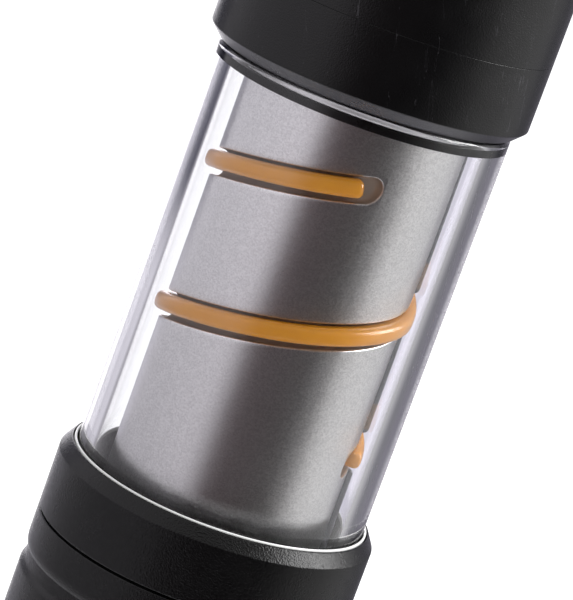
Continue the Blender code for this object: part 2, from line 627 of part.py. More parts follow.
def handle_shell():
    """Thin hollow grip with shallow ribs outside and three keyways inside."""
    outline = [(SHELL_BORE_RADIUS, SHELL_BOTTOM), (GRIP_RADIUS, SHELL_BOTTOM)]
    groove_span = GROOVE_LEAD_IN + GROOVE_FLOOR_HEIGHT + GROOVE_LEAD_OUT
    grooves = []
    for index in range(RIB_COUNT):
        groove_top = SHELL_TOP - TOP_BAND_HEIGHT - RIB_PITCH * index
        groove_low = groove_top - groove_span
        grooves.append([
            (GRIP_RADIUS, groove_top),
            (GRIP_RADIUS - GROOVE_DEPTH, groove_top - GROOVE_LEAD_IN),
            (GRIP_RADIUS - GROOVE_DEPTH, groove_low + GROOVE_LEAD_OUT),
            (GRIP_RADIUS, groove_low),
        ])
    for groove in reversed(grooves):
        outline.extend(reversed(groove))
    counterbore = COLLAR_SPIGOT_RADIUS + RUNNING_CLEARANCE
    outline.extend([
        (GRIP_RADIUS, SHELL_TOP),
        (counterbore, SHELL_TOP),
        (counterbore, COLLAR_SPIGOT_BOTTOM - CLEARANCE),
        (SHELL_BORE_RADIUS, COLLAR_SPIGOT_BOTTOM - CLEARANCE),
    ])
    shell = turned("handle_shell", outline, BLACK_PLASTIC)
    for index in range(KEYWAY_COUNT):
        slot = box("keyway_%d" % index,
                   (SHELL_BORE_RADIUS / 2, -KEYWAY_WIDTH / 2, SHELL_BOTTOM - CUT_OVERRUN),
                   (KEYWAY_RADIUS, KEYWAY_WIDTH / 2, SHELL_TOP + CUT_OVERRUN), None,
                   turn=(0, 0, 2 * pi * index / KEYWAY_COUNT))
        cut(shell, slot)


def collar():
    """Collar screwed on the shell, with its translucent slide bush and rubber ring."""
    bush_floor = COLLAR_TOP - BUSH_SEAT_DEPTH
    groove_middle = COLLAR_TOP - SLIDE_SEAL_DROP
    groove_radius = TUBE_RADIUS + 2 * CLEARANCE + 2 * SLIDE_SEAL_WIRE_RADIUS
    groove_low = groove_middle - SLIDE_SEAL_GROOVE_HEIGHT / 2
    groove_high = groove_middle + SLIDE_SEAL_GROOVE_HEIGHT / 2
    shoulder_inset = GRIP_RADIUS - COLLAR_MOUTH_RADIUS
    shoulder_middle = (GRIP_RADIUS - shoulder_inset * SHOULDER_INSET_SHARE,
                       COLLAR_CREST + COLLAR_SHOULDER_HEIGHT * SHOULDER_RISE_SHARE)
    outline = [
        (COLLAR_BORE_RADIUS, COLLAR_SPIGOT_BOTTOM),
        (COLLAR_SPIGOT_RADIUS, COLLAR_SPIGOT_BOTTOM),
        (COLLAR_SPIGOT_RADIUS, COLLAR_BOTTOM),
        (GRIP_RADIUS, COLLAR_BOTTOM),
        (GRIP_RADIUS, COLLAR_CREST),
        shoulder_middle,
        (COLLAR_MOUTH_RADIUS, COLLAR_TOP),
        (BUSH_SEAT_RADIUS, COLLAR_TOP),
        (BUSH_SEAT_RADIUS, bush_floor),
        (COLLAR_BORE_RADIUS, bush_floor),
        (COLLAR_BORE_RADIUS, groove_high),
        (groove_radius, groove_high),
        (groove_radius, groove_low),
        (COLLAR_BORE_RADIUS, groove_low),
    ]
    turned("collar_ring", outline, BLACK_PLASTIC)
    seal_ring("slide_seal", TUBE_RADIUS + CLEARANCE + SLIDE_SEAL_WIRE_RADIUS,
              SLIDE_SEAL_WIRE_RADIUS, groove_middle, BLACK_RUBBER)
    lip_top = COLLAR_TOP + BUSH_LIP_RISE
    turned("slide_bush", tube_outline(BUSH_BORE_RADIUS, BUSH_RADIUS, bush_floor + CLEARANCE, lip_top),
           NATURAL_NYLON)


def clear_tube():
    """Clear lantern tube with a rounded upper edge."""
    outline = [(TUBE_BORE_RADIUS, TUBE_BOTTOM), (TUBE_RADIUS, TUBE_BOTTOM)]
    for index in range(TUBE_EDGE_STEPS + 1):
        angle = pi / 2 * index / TUBE_EDGE_STEPS
        outline.append((TUBE_RADIUS - TUBE_EDGE_RADIUS * (1 - cos(angle)),
                        TUBE_TOP - TUBE_EDGE_RADIUS * (1 - sin(angle))))
    outline.append((TUBE_BORE_RADIUS, TUBE_TOP))
    turned("clear_tube", outline, CLEAR_PLASTIC)


def column_foot():
    """Foot that closes the column, with three lugs that run in the keyways and stop at the collar."""
    outline = [
        (0, FOOT_BOTTOM),
        (FOOT_RIM_RADIUS, FOOT_BOTTOM),
        (FOOT_RIM_RADIUS, FOOT_RIM_TOP),
        (TUBE_SPIGOT_RADIUS, FOOT_RIM_TOP),
        (TUBE_SPIGOT_RADIUS, FOOT_RIM_TOP + FOOT_SPIGOT_HEIGHT),
        (COLUMN_POCKET_RADIUS, FOOT_RIM_TOP + FOOT_SPIGOT_HEIGHT),
        (COLUMN_POCKET_RADIUS, FOOT_FLOOR_TOP),
        (0, FOOT_FLOOR_TOP),
    ]
    foot = turned("column_foot", outline, BLACK_PLASTIC)
    half_lug = KEYWAY_WIDTH / 2 - LUG_SIDE_CLEARANCE
    for index in range(KEYWAY_COUNT):
        lug = box("lug_%d" % index, (TUBE_SPIGOT_RADIUS, -half_lug, FOOT_BOTTOM + LUG_SETBACK),
                  (LUG_RADIUS, half_lug, FOOT_RIM_TOP), None,
                  turn=(0, 0, 2 * pi * index / KEYWAY_COUNT))
        join(foot, lug)
    head_top = FOOT_BOTTOM + SCREW_HEAD_HEIGHT + CLEARANCE
    places = ring_places(FOOT_SCREW_COUNT, SCREW_CIRCLE_RADIUS, FOOT_SCREW_TURN)
    cut(foot, round_points("foot_screw_heads", places, SCREW_HEAD_RADIUS + RUNNING_CLEARANCE,
                           FOOT_BOTTOM - CUT_OVERRUN, head_top, None))
    cut(foot, round_points("foot_screw_holes", places, SCREW_HOLE_RADIUS,
                           FOOT_BOTTOM - CUT_OVERRUN, FOOT_FLOOR_TOP + CUT_OVERRUN, None))


def screws(name, places, head_low, upwards):
    """Like screws, each with a flat head and a shank that points up or down from it."""
    sign = 1 if upwards else -1
    outline = [
        (0, 0),
        (SCREW_HEAD_RADIUS, 0),
        (SCREW_HEAD_RADIUS, sign * SCREW_HEAD_HEIGHT),
        (SCREW_SHANK_RADIUS, sign * SCREW_HEAD_HEIGHT),
        (SCREW_SHANK_RADIUS, sign * SCREW_LENGTH),
        (0, sign * SCREW_LENGTH),
    ]
    for index, (x, y) in enumerate(places, 1):
        turned("%s_%d" % (name, index), outline, STEEL, SMALL_SEGMENTS, (x, y, head_low))


def filament_point(angle, radius):
    """A place on the filament's helix. Angle zero is at the right, half a turn is at the left."""
    climb = FILAMENT_PITCH * (angle - FILAMENT_START_ANGLE) / (2 * pi)
    height = COLLAR_CREST + FILAMENT_LOWER_MARGIN + climb
    return Vector((radius * cos(angle), radius * sin(angle), height))


def filament_angles(first, last):
    steps = round((last - first) / (2 * pi) * FILAMENT_POINTS_PER_TURN)
    return [first + (last - first) * index / steps for index in range(steps + 1)]


def helix_angle(length):
    """The turn round the axis that a length along the helix takes."""
    return 2 * pi * length / sqrt((2 * pi * COLUMN_RADIUS) ** 2 + FILAMENT_PITCH ** 2)


def helix_groove():
    """Cutter for the filament's groove: a round cornered channel with half round ends."""
    depth = FILAMENT_RADIUS + CLEARANCE
    corner = GROOVE_HALF_WIDTH * GROOVE_CORNER_SHARE
    margin = helix_angle(GROOVE_END_MARGIN)
    end_span = helix_angle(GROOVE_HALF_WIDTH)
    first = FILAMENT_START_ANGLE - margin
    last = FILAMENT_END_ANGLE + margin
    end_steps = []
    for index in range(GROOVE_END_STEPS):
        fall = pi / 2 * (1 - index / GROOVE_END_STEPS)
        share = max(cos(fall), sin(pi / 2 / GROOVE_END_STEPS) / 2)
        end_steps.append((end_span * (1 - sin(fall)), share))
    stations = [(first + inset, share) for inset, share in end_steps]
    for angle in filament_angles(first + end_span, last - end_span):
        stations.append((angle, 1.0))
    for inset, share in reversed(end_steps):
        stations.append((last - inset, share))
    mesh_data = bmesh.new()
    rings = []
    climb = FILAMENT_PITCH / (2 * pi)
    for angle, share in stations:
        centre = filament_point(angle, COLUMN_RADIUS)
        outward = Vector((cos(angle), sin(angle), 0))
        along = Vector((-COLUMN_RADIUS * sin(angle), COLUMN_RADIUS * cos(angle), climb)).normalized()
        across = outward.cross(along)
        half = GROOVE_HALF_WIDTH * share
        section = [
            (half, GROOVE_HALF_WIDTH),
            (half, corner - depth),
            (half * (1 - GROOVE_CORNER_SHARE), -depth),
            (-half * (1 - GROOVE_CORNER_SHARE), -depth),
            (-half, corner - depth),
            (-half, GROOVE_HALF_WIDTH),
        ]
        ring = [mesh_data.verts.new(centre + across * a + outward * b) for a, b in section]
        rings.append(ring)
    for one, two in zip(rings, rings[1:]):
        for index in range(len(one)):
            following = (index + 1) % len(one)
            mesh_data.faces.new((one[index], one[following], two[following], two[index]))
    mesh_data.faces.new(rings[0])
    mesh_data.faces.new(list(reversed(rings[-1])))
    return finish("filament_groove", mesh_data, None)


def silver_column():
    """Column that carries the filament in a helical groove and holds the battery."""
    column = turned("silver_column",
                    tube_outline(COLUMN_BORE_RADIUS, COLUMN_RADIUS, COLUMN_BOTTOM, COLUMN_TOP),
                    SILVER_PAINT)
    cut(column, helix_groove())
    for name, angle in zip(("lower", "upper"), pin_angles()):
        centre = filament_point(angle, 0)
        hole = turned("pin_hole_" + name,
                      rod_outline(PIN_HOLE_RADIUS, COLUMN_BORE_RADIUS / 2, COLUMN_RADIUS), None,
                      SMALL_SEGMENTS, (0, 0, centre.z), (0, pi / 2, angle))
        cut(column, hole)
    foot_places = ring_places(FOOT_SCREW_COUNT, SCREW_CIRCLE_RADIUS, FOOT_SCREW_TURN)
    low = FOOT_BOTTOM + CLEARANCE / 2
    cut(column, round_points("column_foot_holes", foot_places, SCREW_HOLE_RADIUS,
                             COLUMN_BOTTOM - CUT_OVERRUN, low + SCREW_LENGTH + CLEARANCE, None))
    screws("foot_screw", foot_places, low, True)
    high = CAP_SCREW_SEAT + CLEARANCE + SCREW_HEAD_HEIGHT
    cut(column, round_points("column_cap_holes", foot_places, SCREW_HOLE_RADIUS,
                             high - SCREW_LENGTH - CLEARANCE, COLUMN_TOP + CUT_OVERRUN, None))
    screws("cap_screw", foot_places, high, False)


def pin_angles():
    """Where the filament's end pins go through the column."""
    step = helix_angle(CLEARANCE + PIN_RADIUS)
    return FILAMENT_START_ANGLE - step, FILAMENT_END_ANGLE + step


def led_filament():
    """Flexible light filament, one unbroken tube along the helix, with its pins and leads."""
    angles = filament_angles(FILAMENT_START_ANGLE, FILAMENT_END_ANGLE)
    path = [filament_point(angle, COLUMN_RADIUS) for angle in angles]
    wire("led_filament", path, FILAMENT_RADIUS, PHOSPHOR)
    gap = least_gap(path)
    print("led_filament least gap to itself: %.2f mm" % (gap * MILLIMETRES_PER_METRE))
    inner = LEAD_CIRCLE_RADIUS + LEAD_RADIUS + RUNNING_CLEARANCE
    for name, angle in zip(("lower", "upper"), pin_angles()):
        level = filament_point(angle, 0).z
        turned("filament_pin_" + name, rod_outline(PIN_RADIUS, inner, COLUMN_RADIUS), STEEL,
               SMALL_SEGMENTS // 2, (0, 0, level), (0, pi / 2, angle))
        start = filament_point(angle, LEAD_CIRCLE_RADIUS) - Vector((0, 0, PIN_RADIUS))
        end = Vector((start.x, start.y, BOARD_BOTTOM - LEAD_END_GAP))
        wire("filament_lead_" + name, [start, end], LEAD_RADIUS, WIRE_RED)


def least_gap(path):
    """Smallest distance between the skins of the filament's turns."""
    far = FILAMENT_POINTS_PER_TURN // 2
    distances = []
    for index, one in enumerate(path):
        for two in path[index + far:]:
            distances.append((one - two).length)
    return min(distances) - 2 * FILAMENT_RADIUS


def battery():
    """Rechargeable cell in its carrier, between a coil spring and a brass contact."""
    cell_outline = [
        (0, CELL_BOTTOM),
        (CELL_RADIUS, CELL_BOTTOM),
        (CELL_RADIUS, CELL_TOP - CELL_CAP_HEIGHT),
        (CELL_CAP_RADIUS, CELL_TOP - CELL_CAP_HEIGHT),
        (CELL_CAP_RADIUS, CELL_TOP),
        (0, CELL_TOP),
    ]
    turned("battery_cell", cell_outline, CELL_SLEEVE, INNER_SEGMENTS)
    carrier = turned("cell_carrier",
                     tube_outline(CARRIER_BORE_RADIUS, CARRIER_RADIUS, COLUMN_BOTTOM, CARRIER_TOP),
                     WHITE_PLASTIC, INNER_SEGMENTS)
    for index in range(CARRIER_FIN_COUNT):
        fin = box("fin_%d" % index, (CARRIER_RADIUS - CARRIER_WALL / 2, -CARRIER_FIN_WIDTH / 2,
                                     COLUMN_BOTTOM),
                  (COLUMN_BORE_RADIUS - CLEARANCE, CARRIER_FIN_WIDTH / 2, COLUMN_TOP), None,
                  turn=(0, 0, CARRIER_FIN_TURN + 2 * pi * index / CARRIER_FIN_COUNT))
        join(carrier, fin)
    points_per_turn = 10
    coil = []
    steps = SPRING_TURNS * points_per_turn
    rise = SPRING_HEIGHT - 2 * SPRING_WIRE_RADIUS
    for index in range(steps + 1):
        share = index / steps
        angle = 2 * pi * index / points_per_turn
        radius = SPRING_WIDE_RADIUS + (SPRING_NARROW_RADIUS - SPRING_WIDE_RADIUS) * share
        coil.append((radius * cos(angle), radius * sin(angle),
                     SPRING_BOTTOM + SPRING_WIRE_RADIUS + rise * share))
    wire("cell_spring", coil, SPRING_WIRE_RADIUS, STEEL)
    turned("contact_plate",
           rod_outline(CONTACT_RADIUS, CONTACT_BOTTOM, CONTACT_BOTTOM + CONTACT_THICKNESS), BRASS,
           INNER_SEGMENTS)
    turned("contact_holder",
           rod_outline(CARRIER_RADIUS, HOLDER_BOTTOM, HOLDER_BOTTOM + CONTACT_HOLDER_THICKNESS),
           WHITE_PLASTIC, INNER_SEGMENTS)


def column_cap():
    """Black cap on the column's top: its skirt shows as the dark band inside the clear tube."""
    skirt_bottom = CAP_FLANGE_BOTTOM - CAP_SKIRT_OVERLAP
    seal_floor = TUBE_SPIGOT_RADIUS - 2 * TUBE_SEAL_WIRE_RADIUS - RUNNING_CLEARANCE
    seal_middle = CAP_FLANGE_BOTTOM + CAP_FLANGE_THICKNESS / 2
    seal_half = TUBE_SEAL_WIRE_RADIUS + RUNNING_CLEARANCE
    outline = [
        (COLUMN_POCKET_RADIUS, skirt_bottom),
        (TUBE_SPIGOT_RADIUS, skirt_bottom),
        (TUBE_SPIGOT_RADIUS, seal_middle - seal_half),
        (seal_floor, seal_middle - seal_half),
        (seal_floor, seal_middle + seal_half),
        (TUBE_SPIGOT_RADIUS, seal_middle + seal_half),
        (TUBE_SPIGOT_RADIUS, TUBE_TOP),
        (CAP_NECK_RADIUS, TUBE_TOP),
        (CAP_NECK_RADIUS, CAP_TOP),
        (CAP_BORE_RADIUS, CAP_TOP),
        (CAP_BORE_RADIUS, CAP_FLANGE_BOTTOM),
        (COLUMN_POCKET_RADIUS, CAP_FLANGE_BOTTOM),
    ]
    cap = turned("column_cap", outline, BLACK_PLASTIC)
    places = ring_places(FOOT_SCREW_COUNT, SCREW_CIRCLE_RADIUS, FOOT_SCREW_TURN)
    cut(cap, round_points("cap_screw_heads", places, SCREW_HEAD_RADIUS + RUNNING_CLEARANCE,
                          CAP_SCREW_SEAT, CAP_TOP + CUT_OVERRUN, None))
    cut(cap, round_points("cap_screw_holes", places, SCREW_HOLE_RADIUS,
                          CAP_FLANGE_BOTTOM - CUT_OVERRUN, CAP_TOP + CUT_OVERRUN, None))
    seal_ring("tube_seal", TUBE_SPIGOT_RADIUS - TUBE_SEAL_WIRE_RADIUS, TUBE_SEAL_WIRE_RADIUS,
              seal_middle, BLACK_RUBBER)


def head_base_ring():
    """Lower ring of the head, with the wide chamfer that meets the clear tube."""
    outline = [
        (BASE_BORE_RADIUS, HEAD_BOTTOM),
        (HEAD_RADIUS - HEAD_CHAMFER_INSET, HEAD_BOTTOM),
        (HEAD_RADIUS, HEAD_EDGE),
        (HEAD_RADIUS, BASE_RING_TOP),
        (BASE_CAVITY_RADIUS, BASE_RING_TOP),
        (BASE_CAVITY_RADIUS, HEAD_EDGE + BASE_FLOOR_HEIGHT),
        (BASE_BORE_RADIUS, HEAD_EDGE + BASE_FLOOR_HEIGHT),
    ]
    turned("head_base_ring", outline, BLACK_PLASTIC)


def head_housing():
    """Main shell of the head, with the button hole, the port window and the cover's pocket."""
    spigot_bore = HOUSING_SPIGOT_RADIUS - HOUSING_SPIGOT_WALL
    ledge_top = HOUSING_BOTTOM + BOARD_LEDGE_HEIGHT
    outline = [
        (spigot_bore, HOUSING_BOTTOM - HOUSING_SPIGOT_LENGTH),
        (HOUSING_SPIGOT_RADIUS, HOUSING_BOTTOM - HOUSING_SPIGOT_LENGTH),
        (HOUSING_SPIGOT_RADIUS, HOUSING_BOTTOM),
        (HEAD_RADIUS, HOUSING_BOTTOM),
        (HEAD_RADIUS, HOUSING_SHOULDER),
        (BEZEL_SPIGOT_RADIUS, HOUSING_SHOULDER),
        (BEZEL_SPIGOT_RADIUS, HOUSING_TOP),
        (HOUSING_WIDE_BORE_RADIUS, HOUSING_TOP),
        (HOUSING_WIDE_BORE_RADIUS, HEAT_SINK_LEDGE),
        (HOUSING_BORE_RADIUS, HEAT_SINK_LEDGE),
        (HOUSING_BORE_RADIUS, ledge_top),
        (spigot_bore, ledge_top),
    ]
    housing = turned("head_housing", outline, BLACK_PLASTIC)
    cut(housing, turned("button_hole",
                        rod_outline(BUTTON_RADIUS + CLEARANCE, HOUSING_BORE_RADIUS / 2,
                                    HEAD_RADIUS + CUT_OVERRUN), None, INNER_SEGMENTS,
                        (0, 0, BUTTON_LEVEL), (-pi / 2, 0, 0)))
    cut(housing, turned("indicator_hole",
                        rod_outline(INDICATOR_RADIUS + CLEARANCE, HOUSING_BORE_RADIUS / 2,
                                    HEAD_RADIUS + CUT_OVERRUN), None, SMALL_SEGMENTS,
                        (0, 0, BUTTON_LEVEL), (0, pi / 2, INDICATOR_TURN)))
    cut(housing, box("port_window",
                     (-HEAD_RADIUS - CUT_OVERRUN, -PORT_WINDOW_WIDTH / 2,
                      PORT_LEVEL - PORT_WINDOW_HEIGHT / 2),
                     (-HOUSING_BORE_RADIUS / 2, PORT_WINDOW_WIDTH / 2,
                      PORT_LEVEL + PORT_WINDOW_HEIGHT / 2), None))
    pocket_floor = HEAD_RADIUS - COVER_THICKNESS - CLEARANCE
    pocket_low = COVER_HINGE_LEVEL - COVER_HINGE_DEPTH - COVER_SWING_CLEARANCE
    pocket_high = COVER_TOP + CLEARANCE
    half = COVER_HALF_ANGLE + CLEARANCE / HEAD_RADIUS
    mesh_data = bmesh.new()
    turned_mesh(mesh_data, tube_outline(pocket_floor, HEAD_RADIUS + CUT_OVERRUN, pocket_low,
                                        pocket_high), COVER_STEPS, pi - half, 2 * half)
    cut(housing, finish("cover_pocket", mesh_data, None))


def driver_board():
    """Round circuit board with its chips, charging port and side switch."""
    turned("driver_board", rod_outline(BOARD_RADIUS, BOARD_BOTTOM, BOARD_TOP), CIRCUIT_BOARD,
           INNER_SEGMENTS)
    board_parts = (
        ("driver_chip", DRIVER_CHIP_SIZE, DRIVER_CHIP_PLACE),
        ("charge_chip", CHARGE_CHIP_SIZE, CHARGE_CHIP_PLACE),
        ("driver_coil", COIL_SIZE, COIL_PLACE),
    )
    for name, (length, width, height), (x, y) in board_parts:
        box(name, (x - length / 2, y - width / 2, BOARD_PARTS_BOTTOM),
            (x + length / 2, y + width / 2, BOARD_PARTS_BOTTOM + height), CHIP_BLACK)


def usb_port():
    """Metal charging socket on the board, its mouth towards -X."""
    mouth = -(HOUSING_BORE_RADIUS - USB_MOUTH_SETBACK)
    back = mouth + USB_LENGTH
    half = USB_WIDTH / 2
    port = box("usb_port", (mouth, -half, BOARD_PARTS_BOTTOM),
               (back, half, BOARD_PARTS_BOTTOM + USB_HEIGHT), NICKEL)
    inner_low = BOARD_PARTS_BOTTOM + USB_SHELL_WALL
    inner_high = BOARD_PARTS_BOTTOM + USB_HEIGHT - USB_SHELL_WALL
    cut(port, box("port_cavity", (mouth - CUT_OVERRUN, -half + USB_SHELL_WALL, inner_low),
                  (back - USB_BACK_THICKNESS, half - USB_SHELL_WALL, inner_high), None))
    middle = (inner_low + inner_high) / 2
    tongue_half = half - USB_SHELL_WALL - USB_TONGUE_SIDE_GAP
    join(port, box("port_tongue",
                   (mouth + USB_TONGUE_SETBACK, -tongue_half, middle - USB_TONGUE_THICKNESS / 2),
                   (back - USB_BACK_THICKNESS / 2, tongue_half, middle + USB_TONGUE_THICKNESS / 2),
                   None))


def usb_cover():
    """Rubber flap in its pocket, with a roll at the hinge and a plug that enters the port."""
    hinge_x = -(HEAD_RADIUS - COVER_HINGE_DEPTH)
    hinge_z = COVER_HINGE_LEVEL
    inner = HEAD_RADIUS - COVER_THICKNESS
    mesh_data = bmesh.new()
    turned_mesh(mesh_data, tube_outline(inner, HEAD_RADIUS, hinge_z, COVER_TOP),
                COVER_STEPS, pi - COVER_HALF_ANGLE, 2 * COVER_HALF_ANGLE)
    bmesh.ops.translate(mesh_data, vec=(-hinge_x, 0, -hinge_z), verts=mesh_data.verts)
    cover = finish("usb_cover", mesh_data, BLACK_RUBBER, (hinge_x, 0, hinge_z))
    mouth = -(HOUSING_BORE_RADIUS - USB_MOUTH_SETBACK)
    join(cover, box("cover_plug",
                    (-inner - COVER_THICKNESS / 2, -COVER_PLUG_WIDTH / 2,
                     PORT_LEVEL - COVER_PLUG_HEIGHT / 2),
                    (mouth + COVER_PLUG_ENTRY, COVER_PLUG_WIDTH / 2,
                     PORT_LEVEL + COVER_PLUG_HEIGHT / 2), None))
    roll = rod_outline(COVER_ROLL_RADIUS, -COVER_ROLL_HALF_LENGTH, COVER_ROLL_HALF_LENGTH)
    join(cover, turned("cover_roll", roll, None, SMALL_SEGMENTS, (hinge_x, 0, hinge_z),
                       (-pi / 2, 0, 0)))


def power_button():
    """Round button at the back of the head, with its plunger and the side switch."""
    flange_face = HOUSING_BORE_RADIUS - BUTTON_FLANGE_SETBACK
    reach = HEAD_RADIUS + BUTTON_PROUD - flange_face
    outline = [
        (0, -BUTTON_FLANGE_THICKNESS),
        (BUTTON_FLANGE_RADIUS, -BUTTON_FLANGE_THICKNESS),
        (BUTTON_FLANGE_RADIUS, 0),
        (BUTTON_RADIUS, 0),
        (BUTTON_RADIUS, reach - BUTTON_DOME),
        (BUTTON_RADIUS - BUTTON_DOME, reach),
        (0, reach),
    ]
    turned("power_button", outline, BLACK_RUBBER, INNER_SEGMENTS, (0, flange_face, BUTTON_LEVEL),
           (-pi / 2, 0, 0))
    switch_middle = BOARD_PARTS_BOTTOM + SWITCH_HEIGHT / 2
    plunger_outer = flange_face - BUTTON_FLANGE_THICKNESS - CLEARANCE
    turned("switch_plunger", rod_outline(PLUNGER_RADIUS, -PLUNGER_LENGTH, 0), CHIP_BLACK,
           SMALL_SEGMENTS, (0, plunger_outer, switch_middle), (-pi / 2, 0, 0))
    front = plunger_outer - PLUNGER_LENGTH + PLUNGER_ENTRY
    pocket_depth = PLUNGER_ENTRY + BUTTON_TRAVEL + 2 * CLEARANCE
    switch = box("tact_switch",
                 (-SWITCH_WIDTH / 2, front - SWITCH_DEPTH, BOARD_PARTS_BOTTOM),
                 (SWITCH_WIDTH / 2, front, BOARD_PARTS_BOTTOM + SWITCH_HEIGHT), CHIP_BLACK)
    cut(switch, turned("plunger_hole",
                       rod_outline(PLUNGER_RADIUS + CLEARANCE, front - pocket_depth,
                                   front + CUT_OVERRUN), None, SMALL_SEGMENTS,
                       (0, 0, switch_middle), (-pi / 2, 0, 0)))


def indicator():
    """Charge light pipe through the housing wall."""
    outer = HEAD_RADIUS + INDICATOR_PROUD
    turned("indicator_lens", rod_outline(INDICATOR_RADIUS, outer - INDICATOR_LENGTH, outer),
           CLEAR_PLASTIC, SMALL_SEGMENTS, (0, 0, BUTTON_LEVEL),
           (0, pi / 2, INDICATOR_TURN))


def front_lamp():
    """Heat sink, LED on its star board, mirror reflector and lens."""
    sink_top = HEAT_SINK_BOTTOM + HEAT_SINK_THICKNESS
    turned("heat_sink", [
        (0, HEAT_SINK_BOTTOM),
        (HEAT_SINK_RADIUS, HEAT_SINK_BOTTOM),
        (HEAT_SINK_RADIUS, sink_top),
        (HEAT_SINK_PEDESTAL_RADIUS, sink_top),
        (HEAT_SINK_PEDESTAL_RADIUS, sink_top + HEAT_SINK_PEDESTAL_HEIGHT),
        (0, sink_top + HEAT_SINK_PEDESTAL_HEIGHT),
    ], ALUMINIUM, INNER_SEGMENTS)
    star = turned("led_board", rod_outline(LED_BOARD_RADIUS, LED_BOARD_BOTTOM, LED_BOARD_TOP),
                  WHITE_PLASTIC, INNER_SEGMENTS)
    cut(star, round_points("star_notches", ring_places(LED_NOTCH_COUNT, LED_BOARD_RADIUS),
                           LED_NOTCH_RADIUS, LED_BOARD_BOTTOM - CUT_OVERRUN,
                           LED_BOARD_TOP + CUT_OVERRUN, None))
    emitter_low = LED_BOARD_TOP + CLEARANCE
    dome_steps = 4
    dome_low = emitter_low + LED_BASE_HEIGHT
    root = emitter_low + LED_BASE_HEIGHT / 2
    dome = [(0, root), (LED_DOME_RADIUS, root)]
    for index in range(dome_steps):
        angle = pi / 2 * index / dome_steps
        dome.append((LED_DOME_RADIUS * cos(angle), dome_low + LED_DOME_RADIUS * sin(angle)))
    dome.append((0, dome_low + LED_DOME_RADIUS))
    half = LED_BASE_WIDTH / 2
    emitter = box("led_emitter", (-half, -half, emitter_low),
                  (half, half, emitter_low + LED_BASE_HEIGHT), PHOSPHOR)
    join(emitter, turned("led_dome", dome, None, SMALL_SEGMENTS))
    inner = []
    outer = []
    rise = REFLECTOR_TOP - REFLECTOR_BOTTOM
    spread = REFLECTOR_MOUTH_RADIUS ** 2 - REFLECTOR_THROAT_RADIUS ** 2
    for index in range(REFLECTOR_STEPS + 1):
        share = (index / REFLECTOR_STEPS) ** 2
        radius = sqrt(REFLECTOR_THROAT_RADIUS ** 2 + spread * share)
        inner.append((radius, REFLECTOR_BOTTOM + rise * share))
        if REFLECTOR_BOTTOM + rise * share < REFLECTOR_FLANGE_BOTTOM - REFLECTOR_WALL:
            outer.append((radius + REFLECTOR_WALL, REFLECTOR_BOTTOM + rise * share))
    outline = list(reversed(inner)) + outer
    outline.append((REFLECTOR_MOUTH_RADIUS + REFLECTOR_WALL, REFLECTOR_FLANGE_BOTTOM))
    outline.append((LENS_RADIUS, REFLECTOR_FLANGE_BOTTOM))
    outline.append((LENS_RADIUS, REFLECTOR_TOP))
    turned("reflector", outline, MIRROR_COAT, INNER_SEGMENTS)
    turned("front_lens", rod_outline(LENS_RADIUS, LENS_BOTTOM, LENS_TOP), CLEAR_PLASTIC,
           INNER_SEGMENTS)
    seal_ring("lens_seal", LENS_RADIUS - LENS_SEAL_SETBACK, LENS_SEAL_WIRE_RADIUS,
              LENS_SEAL_CENTRE, BLACK_RUBBER)


def front_bezel():
    """Screwed front ring that holds the lens, with one groove round it."""
    groove_high = BEZEL_TOP - BEZEL_GROOVE_DROP
    groove_low = groove_high - BEZEL_GROOVE_HEIGHT
    turned("front_bezel", [
        (BEZEL_BORE_RADIUS, BEZEL_BOTTOM),
        (BEZEL_RADIUS - BEZEL_EDGE / 2, BEZEL_BOTTOM),
        (BEZEL_RADIUS, BEZEL_BOTTOM + BEZEL_EDGE),
        (BEZEL_RADIUS, groove_low),
        (BEZEL_RADIUS - BEZEL_GROOVE_DEPTH, groove_low),
        (BEZEL_RADIUS - BEZEL_GROOVE_DEPTH, groove_high),
        (BEZEL_RADIUS, groove_high),
        (BEZEL_RADIUS, BEZEL_TOP - BEZEL_EDGE),
        (BEZEL_RADIUS - BEZEL_EDGE, BEZEL_TOP),
        (BEZEL_MOUTH_RADIUS + BEZEL_MOUTH_BEVEL, BEZEL_TOP),
        (BEZEL_MOUTH_RADIUS, BEZEL_TOP - BEZEL_MOUTH_BEVEL),
        (BEZEL_MOUTH_RADIUS, BEZEL_LIP_BOTTOM),
        (BEZEL_BORE_RADIUS, BEZEL_LIP_BOTTOM),
    ], BLACK_PLASTIC)


tail_cap()
tail_magnet()
hanging_bail()
handle_shell()
collar()
clear_tube()
column_foot()
silver_column()
led_filament()
battery()
column_cap()
head_base_ring()
head_housing()
driver_board()
usb_port()
usb_cover()
power_button()
indicator()
front_lamp()
front_bezel()
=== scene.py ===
from math import cos, pi, radians, sin, sqrt

import bmesh
import bpy
from mathutils import Matrix, Vector


